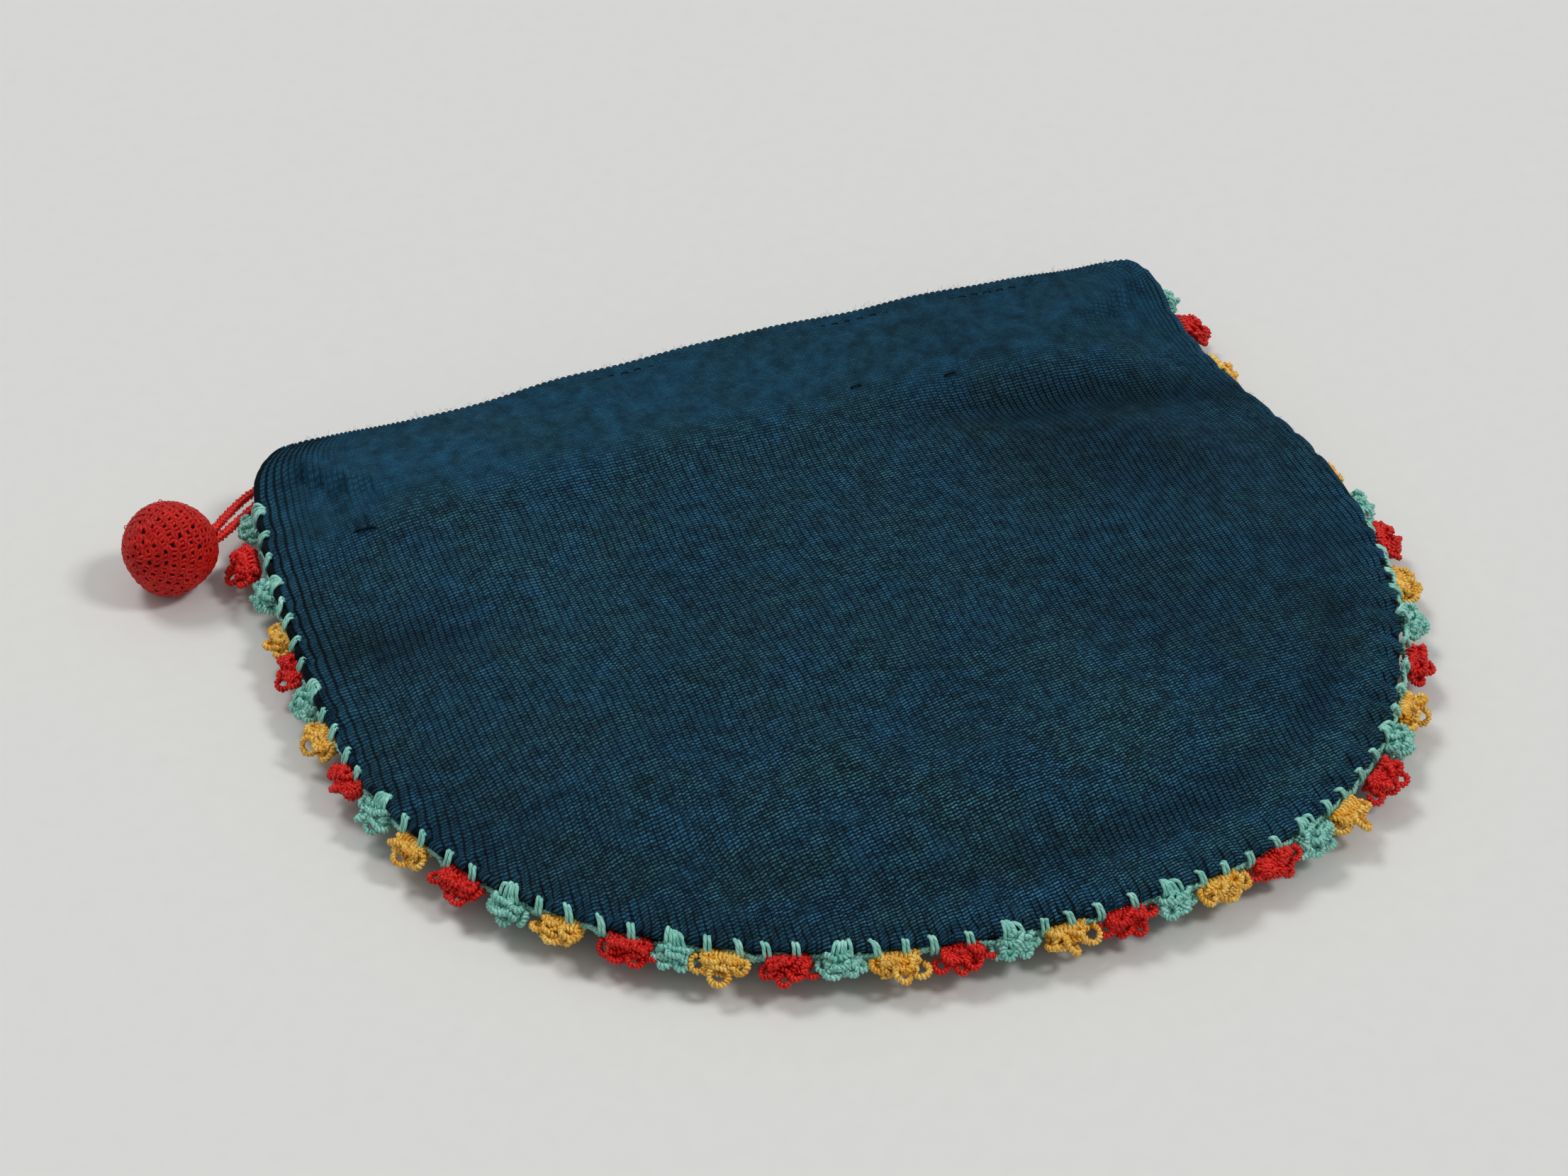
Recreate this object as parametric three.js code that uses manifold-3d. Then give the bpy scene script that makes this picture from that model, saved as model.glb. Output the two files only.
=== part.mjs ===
import * as THREE from "three";
import { mergeVertices } from "three/addons/utils/BufferGeometryUtils.js";
import Module from "manifold-3d";

// A round-ended cloth pouch that lies on its back, its mouth toward +Y. All sizes are in millimetres.
const MOUTH_Y = 65;
const MIDDLE_X = 0.8;
const GAP = 0.3;
const CLOTH = 1.5;

// Outline of a panel: its half-width at the mouth and at the widest line, then the round end below that line.
const MOUTH_HALF = 71.5;
const WIDE_HALF = 75.5;
const WIDE_DEPTH = 50;
const ROUND_DEPTH = 74.7;
const ROUND_POWER = 2.25;
const ROUND_LEAN = 6;
const RIGHT_TUCK = 2.4;
const CORNER_RADIUS = 6;
const CORNER_STEPS = 3;
const SIDE_STEPS = 5;
const ROUND_STEPS = 30;

// The seam between the panels is above the table. At the mouth the panels part.
const SEAM_Z = 5.5;
const PART_DEPTH = 18;
const FRONT_LIFT_LEFT = 3.6;
const FRONT_LIFT_RIGHT = 4.4;
const BACK_DROP = 1.2;

// From the edge inward: a flat seam flange, then the rise to the body of the panel.
const PROFILE = [
  { inward: 0.5, share: 0 },
  { inward: 4, share: 0.06 },
  { inward: 8, share: 0.13 },
  { inward: 12, share: 0.45 },
  { inward: 18, share: 0.83 },
  { inward: 27, share: 1 },
];
const HUB_STEPS = 3;

// Height of the front panel along its middle, with the stiff zip band at the mouth.
const FRONT_TOP = [
  { depth: 0, top: 12.5 },
  { depth: 10, top: 12.6 },
  { depth: 18, top: 12.2 },
  { depth: 27, top: 10.9 },
  { depth: 45, top: 11 },
  { depth: 70, top: 11.3 },
  { depth: 95, top: 10.8 },
  { depth: 125, top: 9.4 },
];
const FRONT_CROWN = 0.9;

// The mouth edge of the front panel rises and dips along its length, less so further down.
const MOUTH_EDGE = [
  { x: -66, lift: -1.2 },
  { x: -42, lift: -1.3 },
  { x: -18, lift: -0.3 },
  { x: 10, lift: 0.1 },
  { x: 45, lift: 0.3 },
  { x: 66, lift: 0.2 },
];
const MOUTH_EDGE_DEPTH = 24;
const BACK_MOUTH_RISE = 1;
const BACK_MOUTH_DEPTH = 14;

// Soft folds of the front panel: middle, direction, half-length, half-width and rise.
const FOLDS = [
  { x: 48, depth: 29, turn: -7, long: 27, wide: 6, rise: -1.5 },
  { x: 33, depth: 79, turn: -52, long: 18, wide: 8, rise: -0.7 },
  { x: -60, depth: 46, turn: -21, long: 14, wide: 7, rise: -0.7 },
  { x: -23, depth: 52, turn: -60, long: 14, wide: 10, rise: -0.4 },
  { x: 66, depth: 71, turn: 10, long: 12, wide: 4.5, rise: -0.8 },
  { x: 62, depth: 85, turn: -20, long: 12, wide: 4.5, rise: -0.7 },
];

// Zip inside the mouth: a tape along each panel, joined by the slider.
const TAPE = 0.9;
const TAPE_FIRST_ROW = 2;
const TAPE_LAST_ROW = 4;
const TAPE_EDGE = 3;
const SLIDER_X = -47;
const SLIDER_DEPTH = 6.5;
const SLIDER_LENGTH = 6;
const SLIDER_WIDTH = 6;
const SLIDER_Z = 6.2;
const SLIDER_HEIGHT = 6.6;

// Crocheted edging: a chain along the seam with shells hung on it.
const CHAIN_DIAMETER = 0.8;
const CHAIN_START = 6.5;
const CHAIN_STOP = 339.5;
const CHAIN_STEPS = 100;
const MOTIF_COUNT = 42;
const SHELL_SIDES = 18;
const SHELL_ROOT = 0.66;
const SHELL_TOP = 0.62;

// Place of the shells along the seam, their size, and how far they droop below its plane.
const STATIONS = [
  { motif: 1, along: 9.6, size: 0.8, droop: 4 },
  { motif: 2, along: 17.4, size: 1.05, droop: 8 },
  { motif: 14, along: 114.5, size: 1.02, droop: 4 },
  { motif: 16, along: 127, size: 0.98, droop: 3 },
  { motif: 24, along: 184.5, size: 1, droop: 3 },
  { motif: 28, along: 213.5, size: 1, droop: 4 },
  { motif: 31, along: 236, size: 1.03, droop: 6 },
  { motif: 35, along: 271.5, size: 1.06, droop: 12 },
  { motif: 36, along: 280, size: 1, droop: 30 },
  { motif: 38, along: 300, size: 0.84, droop: 66 },
  { motif: 39, along: 309, size: 0.84, droop: 66 },
  { motif: 40, along: 318.5, size: 0.92, droop: 45 },
  { motif: 41, along: 329, size: 1.02, droop: 25 },
  { motif: 42, along: 337, size: 0.85, droop: 15 },
];

// Each kind of shell: half-width, reach, thickness, and the angle from one picot to the next.
const MINT = { name: "mint", colour: 0x7fc3b3, half: 3.6, reach: 3.7, thick: 2.6, picot: 40, notch: 0.14 };
const RED = { name: "red", colour: 0xc81e1c, half: 3.6, reach: 4.5, thick: 3, picot: 60, notch: 0.3 };
const GOLD = { name: "gold", colour: 0xdba032, half: 3.3, reach: 4.1, thick: 2.8, picot: 80, notch: 0.24 };
const CYCLE = [MINT, GOLD, RED];

// Red pull: a short cord from the slider, out at the left corner, to a ball on the table.
const CORD_DIAMETER = 1.6;
const CORD_STEPS = 10;
const BALL_RADIUS = 7.1;
const BALL_X = -87.6;
const BALL_DEPTH = 12.8;
const BALL_AXIS = new THREE.Vector3(0.84, 0.42, -0.34).normalize();
const BALL_ROWS = 16;
const BALL_SIDES = 18;
const BALL_GROOVE = 0.3;
const BALL_EYE = 0.7;
const BALL_SINK = 0.08;
const CORD_ROUTE = [
  { x: -58, depth: 2.8, z: 6 },
  { x: -66, depth: 0.7, z: 5.7 },
  { x: -72, depth: 1.2, z: 5.1 },
  { x: -77, depth: 4.4, z: 4.6 },
];

const solids = await Module();
solids.setup();

function material(name, colour, roughness) {
  const made = new THREE.MeshStandardMaterial({ color: colour, roughness, metalness: 0 });
  made.name = name;
  return made;
}

// Value of a column of a table at a place between its rows.
function lookup(table, key, column, at) {
  const last = table.length - 1;
  if (at <= table[0][key]) {
    return table[0][column];
  }
  for (let i = 0; i < last; i++) {
    const low = table[i];
    const high = table[i + 1];
    if (at <= high[key]) {
      const t = (at - low[key]) / (high[key] - low[key]);
      return low[column] + (high[column] - low[column]) * t;
    }
  }
  return table[last][column];
}

// Half-width of the seam line at a depth below the mouth, down to the widest line. The right side is tucked in.
function seamHalf(depth, side) {
  const up = 1 - depth / WIDE_DEPTH;
  const tuck = side > 0 ? RIGHT_TUCK * Math.sin((Math.PI * depth) / WIDE_DEPTH) ** 2 : 0;
  return WIDE_HALF - (WIDE_HALF - MOUTH_HALF) * up * up - tuck;
}

// Edge of a panel at a depth, with the rounded corner of the mouth.
function panelEdge(depth, side) {
  const above = Math.max(0, CORNER_RADIUS - depth);
  const rounding = CORNER_RADIUS - Math.sqrt(CORNER_RADIUS ** 2 - above ** 2);
  return { hub: depth, x: side * (seamHalf(depth, side) - rounding), depth };
}

// Point of the round end: share 0 is its left end, 1 its right end.
function roundPoint(share) {
  const angle = Math.PI * (1 - share);
  const across = Math.cos(angle);
  const down = Math.max(0, Math.sin(angle)) ** (2 / ROUND_POWER);
  const x = Math.sign(across) * Math.abs(across) ** (2 / ROUND_POWER) * WIDE_HALF;
  return { x: x + ROUND_LEAN * down ** 4, depth: WIDE_DEPTH + ROUND_DEPTH * down };
}

// Depths of the panel's rows: close together in the rounded corner, then even.
function rowDepths() {
  const depths = [];
  for (let i = 0; i <= CORNER_STEPS; i++) {
    const angle = (i / CORNER_STEPS) * (Math.PI / 2);
    depths.push(CORNER_RADIUS * (1 - Math.cos(angle)));
  }
  for (let i = 1; i <= SIDE_STEPS; i++) {
    depths.push(CORNER_RADIUS + (i / SIDE_STEPS) * (WIDE_DEPTH - CORNER_RADIUS));
  }
  return depths;
}

// Sections of a panel from the left end of the mouth, round the end, to the right end of the mouth.
function panelSections() {
  const depths = rowDepths();
  const left = depths.map((depth) => panelEdge(depth, -1));
  const right = depths.map((depth) => panelEdge(depth, 1));
  const round = [];
  for (let i = 1; i < ROUND_STEPS; i++) {
    round.push({ hub: WIDE_DEPTH, ...roundPoint(i / ROUND_STEPS) });
  }
  return [...left, ...round, ...right.reverse()];
}

function foldHeight(x, depth) {
  let sum = 0;
  for (const fold of FOLDS) {
    const turn = THREE.MathUtils.degToRad(fold.turn);
    const dx = x - fold.x;
    const dy = fold.depth - depth;
    const along = (dx * Math.cos(turn) + dy * Math.sin(turn)) / fold.long;
    const across = (dy * Math.cos(turn) - dx * Math.sin(turn)) / fold.wide;
    sum += fold.rise * Math.exp(-along * along - across * across);
  }
  return sum;
}

function parting(depth) {
  return Math.max(0, 1 - depth / PART_DEPTH) ** 2;
}

const FRONT = {
  side: 1,
  rim: (x, depth) => {
    const lift = x < 0 ? FRONT_LIFT_LEFT : FRONT_LIFT_RIGHT;
    return SEAM_Z + GAP / 2 + lift * parting(depth);
  },
  body: (x, depth) => {
    const top = lookup(FRONT_TOP, "depth", "top", depth) - FRONT_CROWN * (x / WIDE_HALF) ** 2;
    const fade = Math.max(0, 1 - depth / MOUTH_EDGE_DEPTH) ** 2;
    return top + fade * lookup(MOUTH_EDGE, "x", "lift", x) + foldHeight(x, depth);
  },
};
const BACK = {
  side: -1,
  rim: (x, depth) => SEAM_Z - GAP / 2 - BACK_DROP * parting(depth),
  body: (x, depth) => BACK_MOUTH_RISE * Math.max(0, 1 - depth / BACK_MOUTH_DEPTH) ** 2,
};

// Points of one section from its hub to its edge, sunk below the outer face of the panel.
function sectionPoints(section, face, sunk) {
  const points = [];
  const length = Math.hypot(section.x, section.depth - section.hub);
  const place = (inward, share) => {
    const t = inward / length;
    const x = section.x * (1 - t);
    const depth = section.depth + (section.hub - section.depth) * t;
    const flange = face.rim(section.x, section.depth) + face.side * CLOTH;
    const outer = flange + (face.body(x, depth) - flange) * share;
    return new THREE.Vector3(x, MOUTH_Y - depth, outer - face.side * sunk);
  };
  const widest = PROFILE[PROFILE.length - 1].inward;
  for (let i = 0; i < HUB_STEPS; i++) {
    points.push(place(length + (widest - length) * (i / HUB_STEPS), 1));
  }
  for (const row of [...PROFILE].reverse()) {
    points.push(place(row.inward, row.share));
  }
  const rounding = sunk === 0 ? CLOTH / 3 : 0;
  const edge = place(0, 0);
  edge.z -= face.side * rounding;
  points.push(edge);
  return points;
}

function addTriangle(list, a, b, c) {
  const twice = new THREE.Vector3().subVectors(b, a).cross(new THREE.Vector3().subVectors(c, a));
  if (twice.length() > 1e-6) {
    list.push(a, b, c);
  }
}

function addStrip(list, first, second) {
  for (let i = 0; i + 1 < first.length; i++) {
    addTriangle(list, first[i], first[i + 1], second[i + 1]);
    addTriangle(list, first[i], second[i + 1], second[i]);
  }
}

// A closed body between two grids of the same size. An open side is one where the grid folds back on itself.
function slab(top, bottom, openHub) {
  const list = [];
  const rows = top.length;
  for (let j = 0; j + 1 < rows; j++) {
    addStrip(list, top[j], top[j + 1]);
    addStrip(list, bottom[j + 1], bottom[j]);
  }
  addStrip(list, bottom[0], top[0]);
  addStrip(list, top[rows - 1], bottom[rows - 1]);
  const lastOf = (grid) => grid.map((row) => row[row.length - 1]);
  addStrip(list, lastOf(bottom), lastOf(top));
  if (!openHub) {
    const firstOf = (grid) => grid.map((row) => row[0]);
    addStrip(list, firstOf(top), firstOf(bottom));
  }
  return facingOut(list);
}

function facingOut(list) {
  let volume = 0;
  for (let i = 0; i < list.length; i += 3) {
    volume += list[i].dot(new THREE.Vector3().crossVectors(list[i + 1], list[i + 2]));
  }
  const points = [];
  for (let i = 0; i < list.length; i += 3) {
    const triangle = [list[i], list[i + 1], list[i + 2]];
    points.push(...(volume < 0 ? triangle.reverse() : triangle));
  }
  const geometry = new THREE.BufferGeometry().setFromPoints(points);
  geometry.computeVertexNormals();
  return geometry;
}

function toSolid(geometry) {
  const bare = new THREE.BufferGeometry();
  const flat = geometry.index ? geometry.toNonIndexed() : geometry;
  bare.setAttribute("position", flat.getAttribute("position"));
  const merged = mergeVertices(bare, 1e-3);
  const mesh = new solids.Mesh({
    numProp: 3,
    vertProperties: merged.attributes.position.array,
    triVerts: new Uint32Array(merged.index.array),
  });
  return new solids.Manifold(mesh);
}

function toGeometry(solid) {
  const mesh = solid.getMesh();
  const geometry = new THREE.BufferGeometry();
  geometry.setAttribute("position", new THREE.BufferAttribute(mesh.vertProperties, mesh.numProp));
  geometry.setIndex(new THREE.BufferAttribute(mesh.triVerts, 1));
  geometry.computeVertexNormals();
  return geometry;
}

function joined(geometries) {
  return toGeometry(solids.Manifold.union(geometries.map(toSolid)));
}

function namedMesh(name, geometry, look) {
  const mesh = new THREE.Mesh(geometry, look);
  mesh.name = name;
  return mesh;
}

function panelGeometry(face) {
  const sections = panelSections();
  const outer = sections.map((section) => sectionPoints(section, face, 0));
  const inner = sections.map((section) => sectionPoints(section, face, CLOTH));
  return slab(outer, inner, true);
}

// A zip tape lies along the inside of a panel's mouth, over the same rows as the panel.
function tapeGeometry(face) {
  const depths = rowDepths().slice(TAPE_FIRST_ROW, TAPE_LAST_ROW + 1);
  const rowsAt = (sunk) =>
    depths.map((depth) => {
      const half = (side) => {
        const points = sectionPoints(panelEdge(depth, side), face, sunk);
        return points.slice(0, points.length - 1 - TAPE_EDGE);
      };
      const left = half(-1);
      const right = half(1);
      return [...left.reverse(), ...right.slice(1)];
    });
  return slab(rowsAt(CLOTH + GAP), rowsAt(CLOTH + GAP + TAPE), false);
}

function zipGeometry() {
  const slider = new THREE.BoxGeometry(SLIDER_LENGTH, SLIDER_WIDTH, SLIDER_HEIGHT);
  slider.translate(SLIDER_X, MOUTH_Y - SLIDER_DEPTH, SLIDER_Z);
  return joined([tapeGeometry(FRONT), tapeGeometry(BACK), slider]);
}

// The line of the seam, from the left end of the mouth to the right end.
function seamCurve() {
  const points = [];
  const count = 24;
  for (let i = 0; i < count; i++) {
    const depth = (i / count) * WIDE_DEPTH;
    points.push({ x: -seamHalf(depth, -1), depth });
  }
  for (let i = 0; i <= 3 * count; i++) {
    points.push(roundPoint(i / (3 * count)));
  }
  for (let i = count - 1; i >= 0; i--) {
    const depth = (i / count) * WIDE_DEPTH;
    points.push({ x: seamHalf(depth, 1), depth });
  }
  const line = points.map((point) => new THREE.Vector3(point.x, MOUTH_Y - point.depth, SEAM_Z));
  const curve = new THREE.CatmullRomCurve3(line);
  curve.arcLengthDivisions = 2000;
  return curve;
}

function seamFrame(seam, along) {
  const share = along / seam.getLength();
  const point = seam.getPointAt(share);
  const tangent = seam.getTangentAt(share);
  const outward = new THREE.Vector3(tangent.y, -tangent.x, 0).multiplyScalar(-1);
  if (outward.dot(new THREE.Vector3(point.x, point.y - MOUTH_Y + WIDE_DEPTH, 0)) < 0) {
    outward.negate();
  }
  return { point, tangent, outward };
}

function tubeGeometry(points, diameter, steps) {
  const section = new THREE.Shape();
  section.absarc(0, 0, diameter / 2, 0, 2 * Math.PI);
  return new THREE.ExtrudeGeometry(section, {
    extrudePath: new THREE.CatmullRomCurve3(points),
    curveSegments: 4,
    steps,
    bevelEnabled: false,
  });
}

function chainGeometry(seam) {
  const points = [];
  const out = GAP + CHAIN_DIAMETER / 2;
  for (let i = 0; i <= CHAIN_STEPS; i++) {
    const frame = seamFrame(seam, CHAIN_START + (i / CHAIN_STEPS) * (CHAIN_STOP - CHAIN_START));
    points.push(frame.point.addScaledVector(frame.outward, out));
  }
  return tubeGeometry(points, CHAIN_DIAMETER, CHAIN_STEPS);
}

// One shell of the edging: a cushion with picots round its outer side, narrow at its root on the chain.
function shellGeometry(kind, size, number) {
  const root = GAP + CHAIN_DIAMETER + GAP;
  const half = kind.half * size;
  const reach = (kind.reach * size) / 2;
  const high = (kind.thick * size) / 2;
  const rings = { rim: [], upper: [], lower: [] };
  for (let i = 0; i <= SHELL_SIDES; i++) {
    const degrees = ((i % SHELL_SIDES) / SHELL_SIDES) * 360;
    const angle = THREE.MathUtils.degToRad(degrees);
    const outer = (1 + Math.cos(angle)) / 2;
    const lobe = Math.abs(Math.cos((degrees / kind.picot) * Math.PI));
    const swell = 1 - kind.notch * outer * (1 - lobe);
    const across = half * (SHELL_ROOT + (1 - SHELL_ROOT) * outer) * Math.sin(angle) * swell;
    const out = reach * Math.cos(angle) * swell;
    const wave = 0.2 * high * Math.sin(2 * angle + number);
    const rise = high * (0.75 + 0.25 * lobe);
    rings.rim.push(new THREE.Vector3(across, root + reach + out, wave));
    rings.upper.push(new THREE.Vector3(SHELL_TOP * across, root + reach + SHELL_TOP * out, rise));
    rings.lower.push(new THREE.Vector3(SHELL_TOP * across, root + reach + SHELL_TOP * out, -rise));
  }
  const crown = rings.rim.map(() => new THREE.Vector3(0, root + reach, 0.8 * high));
  const floor = rings.rim.map(() => new THREE.Vector3(0, root + reach, -0.8 * high));
  const list = [];
  const order = [crown, rings.upper, rings.rim, rings.lower, floor];
  for (let i = 0; i + 1 < order.length; i++) {
    addStrip(list, order[i], order[i + 1]);
  }
  return facingOut(list);
}

function motifMesh(seam, number) {
  const kind = number === 1 ? MINT : CYCLE[number % 3];
  const size = lookup(STATIONS, "motif", "size", number) * (1 + 0.03 * Math.sin(number * 2.4));
  const droop = THREE.MathUtils.degToRad(lookup(STATIONS, "motif", "droop", number));
  const frame = seamFrame(seam, lookup(STATIONS, "motif", "along", number));
  const up = new THREE.Vector3(0, 0, 1);
  const across = new THREE.Vector3().crossVectors(frame.outward, up);
  const mesh = namedMesh(
    "motif_" + String(number).padStart(2, "0") + "_" + kind.name,
    shellGeometry(kind, size, number).applyMatrix4(new THREE.Matrix4().makeRotationX(-droop)),
    looks[kind.name],
  );
  mesh.setRotationFromMatrix(new THREE.Matrix4().makeBasis(across, frame.outward, up));
  mesh.position.copy(frame.point);
  return mesh;
}

// Profile of the ball along its axis, with a shallow groove between the rows of stitches.
function ballGeometry() {
  const profile = [new THREE.Vector2(0, -BALL_RADIUS + GAP)];
  for (let i = 0; i < 2 * BALL_ROWS; i++) {
    const angle = ((i + 0.6) / (2 * BALL_ROWS + 0.6)) * Math.PI;
    const radius = BALL_RADIUS - (i % 2 === 0 ? BALL_GROOVE : 0);
    profile.push(new THREE.Vector2(radius * Math.sin(angle), -radius * Math.cos(angle)));
  }
  profile.push(new THREE.Vector2(BALL_EYE, BALL_RADIUS - 2 * BALL_EYE));
  profile.push(new THREE.Vector2(0, BALL_RADIUS - 2 * BALL_EYE));
  return new THREE.LatheGeometry(profile, BALL_SIDES);
}

const looks = {
  cloth: material("ribbed_cloth", 0x1b3f57, 0.75),
  zip: material("zip_tape", 0x16232e, 0.7),
  mint: material("mint_thread", MINT.colour, 0.6),
  red: material("red_thread", RED.colour, 0.6),
  gold: material("gold_thread", GOLD.colour, 0.6),
};

const pouch = new THREE.Group();
pouch.name = "crochet_edged_pouch";
pouch.position.x = MIDDLE_X;
const seam = seamCurve();
pouch.add(namedMesh("front_panel", panelGeometry(FRONT), looks.cloth));
pouch.add(namedMesh("back_panel", panelGeometry(BACK), looks.cloth));
pouch.add(namedMesh("zip", zipGeometry(), looks.zip));
pouch.add(namedMesh("edging_chain", chainGeometry(seam), looks.mint));
for (let number = 1; number <= MOTIF_COUNT; number++) {
  pouch.add(motifMesh(seam, number));
}

const ball = namedMesh("pull_ball", ballGeometry(), looks.red);
ball.position.set(BALL_X, MOUTH_Y - BALL_DEPTH, BALL_RADIUS - BALL_SINK);
ball.quaternion.setFromUnitVectors(new THREE.Vector3(0, -1, 0), BALL_AXIS);
pouch.add(ball);

const route = CORD_ROUTE.map((row) => new THREE.Vector3(row.x, MOUTH_Y - row.depth, row.z));
const start = new THREE.Vector3(SLIDER_X - SLIDER_LENGTH / 2 - GAP, MOUTH_Y - SLIDER_DEPTH + 1, SLIDER_Z);
const finish = ball.position.clone().addScaledVector(BALL_AXIS, BALL_RADIUS + GAP / 2);
const cord = tubeGeometry([start, ...route, finish], CORD_DIAMETER, CORD_STEPS);
pouch.add(namedMesh("pull_cord", cord, looks.red));

const part = new THREE.Group();
part.add(pouch);

export default part;
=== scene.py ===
import math

import bpy
import numpy as np
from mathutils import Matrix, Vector


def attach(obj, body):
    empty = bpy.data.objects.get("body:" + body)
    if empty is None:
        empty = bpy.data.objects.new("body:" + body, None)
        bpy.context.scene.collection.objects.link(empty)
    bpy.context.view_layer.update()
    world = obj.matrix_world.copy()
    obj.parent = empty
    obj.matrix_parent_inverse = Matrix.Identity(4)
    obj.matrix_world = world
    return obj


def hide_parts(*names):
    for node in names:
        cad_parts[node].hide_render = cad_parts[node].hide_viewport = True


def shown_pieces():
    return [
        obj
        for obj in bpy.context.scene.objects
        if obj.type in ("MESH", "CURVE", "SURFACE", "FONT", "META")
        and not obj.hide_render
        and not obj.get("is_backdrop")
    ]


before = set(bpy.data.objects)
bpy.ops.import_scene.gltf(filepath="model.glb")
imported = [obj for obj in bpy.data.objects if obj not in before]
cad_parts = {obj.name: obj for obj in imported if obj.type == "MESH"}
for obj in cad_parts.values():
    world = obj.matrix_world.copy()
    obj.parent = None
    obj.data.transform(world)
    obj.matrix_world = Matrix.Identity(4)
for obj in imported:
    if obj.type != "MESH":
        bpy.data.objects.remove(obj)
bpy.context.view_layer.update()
mm = 0.001
print("frame loaded:", len(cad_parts), "nodes")

# the photograph is taken from the front left, looking down at the pouch on the table
shot = {"place": (-147.822, -346.424, 318.994), "turn": -21.189, "down": 39.0, "lens": 81.374}
bpy.ops.object.select_all(action="DESELECT")
bpy.ops.object.camera_add(
    location=[v * mm for v in shot["place"]],
    rotation=(math.radians(90 - shot["down"]), 0, math.radians(shot["turn"])),
)
camera = bpy.context.object
camera.name = "photoCamera"
camera.data.lens = shot["lens"]
camera.data.sensor_width = 36
camera.data.clip_start = 0.01
bpy.context.scene.camera = camera
bpy.context.scene.view_settings.view_transform = "Standard"  # thread colours stay as they are given


# thread and cloth helpers

def linear(hexColour):
    values = [int(hexColour[i : i + 2], 16) / 255 for i in (1, 3, 5)]
    return [v / 12.92 if v <= 0.04045 else ((v + 0.055) / 1.055) ** 2.4 for v in values] + [1.0]


def addNode(tree, kind, values=None, links=None, **settings):
    # a link from a node takes the first output that the node has in use
    node = tree.nodes.new("ShaderNode" + kind)
    for name, value in settings.items():
        setattr(node, name, value)
    for socket, value in (values or {}).items():
        node.inputs[socket].default_value = value
    for socket, source in (links or {}).items():
        if hasattr(source, "outputs"):
            source = next(s for s in source.outputs if s.enabled)
        tree.links.new(source, node.inputs[socket])
    return node


def newMaterial(name):
    material = bpy.data.materials.new(name)
    material.use_nodes = True
    material.node_tree.nodes.clear()
    return material, material.node_tree


def bell(value, wide):
    # 1 in the middle, fading to nothing over the width
    return np.exp(-((value / wide) ** 2))


def ramp(value, start, span):
    # 0 up to the start, then rising to 1 over the span
    return np.clip((value - start) / span, 0, 1)


def flowing(points, count):
    # smooth line through the points
    p = np.asarray(points, float)
    padded = np.vstack([2 * p[0] - p[1], p, 2 * p[-1] - p[-2]])
    t = np.linspace(0, len(p) - 1, count)
    i = np.minimum(t.astype(int), len(p) - 2)
    f = (t - i)[:, None]
    a, b, c, d = padded[i], padded[i + 1], padded[i + 2], padded[i + 3]
    return 0.5 * (2 * b + (c - a) * f + (2 * a - 5 * b + 4 * c - d) * f**2 + (3 * b - a - 3 * c + d) * f**3)


def lengthAlong(path):
    return np.concatenate([[0], np.cumsum(np.linalg.norm(np.diff(path, axis=0), axis=1))])


def evenly(path, step):
    s = lengthAlong(path)
    at = np.linspace(0, s[-1], max(4, int(round(s[-1] / step)) + 1))
    return np.column_stack([np.interp(at, s, path[:, k]) for k in range(3)])


def carriedFrames(paths):
    # a frame that turns as little as it can along each of the paths
    tangent = np.gradient(paths, axis=1)
    tangent /= np.linalg.norm(tangent, axis=2, keepdims=True) + 1e-12
    helper = np.where(np.abs(tangent[:, :1, 2:]) < 0.9, [[[0, 0, 1.0]]], [[[1.0, 0, 0]]])[:, 0]
    normal = np.zeros_like(paths)
    n = np.cross(tangent[:, 0], helper)
    for i in range(paths.shape[1]):
        n = n - tangent[:, i] * np.sum(n * tangent[:, i], axis=1, keepdims=True)
        n = n / (np.linalg.norm(n, axis=1, keepdims=True) + 1e-12)
        normal[:, i] = n
    return tangent, normal, np.cross(tangent, normal)


def plait(path, width, thick, pitch, phase, plies=3):
    # strands that cross over and under each other along a path, as in a crochet chain
    _, normal, binormal = (v[0] for v in carriedFrames(path[None]))
    s = lengthAlong(path)
    strands = []
    for k in range(plies):
        f = 2 * np.pi * (s / pitch + k / plies) + phase
        across, over = (width * np.sin(f))[:, None], (thick * np.sin(2 * f))[:, None]
        strands.append(path + normal * across + binormal * over)
    return strands


def wound(path, radius, pitch, rng):
    # thread that winds closely round a path, as the stitches of a picot do
    fine = evenly(path, pitch / 4.8)
    _, normal, binormal = (v[0] for v in carriedFrames(fine[None]))
    s = lengthAlong(fine)
    angle = 2 * np.pi * s / pitch + 0.5 * np.sin(2.1 * s + rng.uniform(0, 6)) + rng.uniform(0, 6)
    out = radius * (1 + 0.16 * np.sin(3.3 * s + rng.uniform(0, 6)) + 0.08 * np.sin(angle / 2))
    return fine + normal * (out * np.cos(angle))[:, None] + binormal * (out * np.sin(angle))[:, None]


def newBundle():
    # many round strands joined in one mesh, with a UV map that runs along (mm) and around each strand
    return {"verts": [], "quads": [], "caps": [], "uvs": [], "count": 0}


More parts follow.
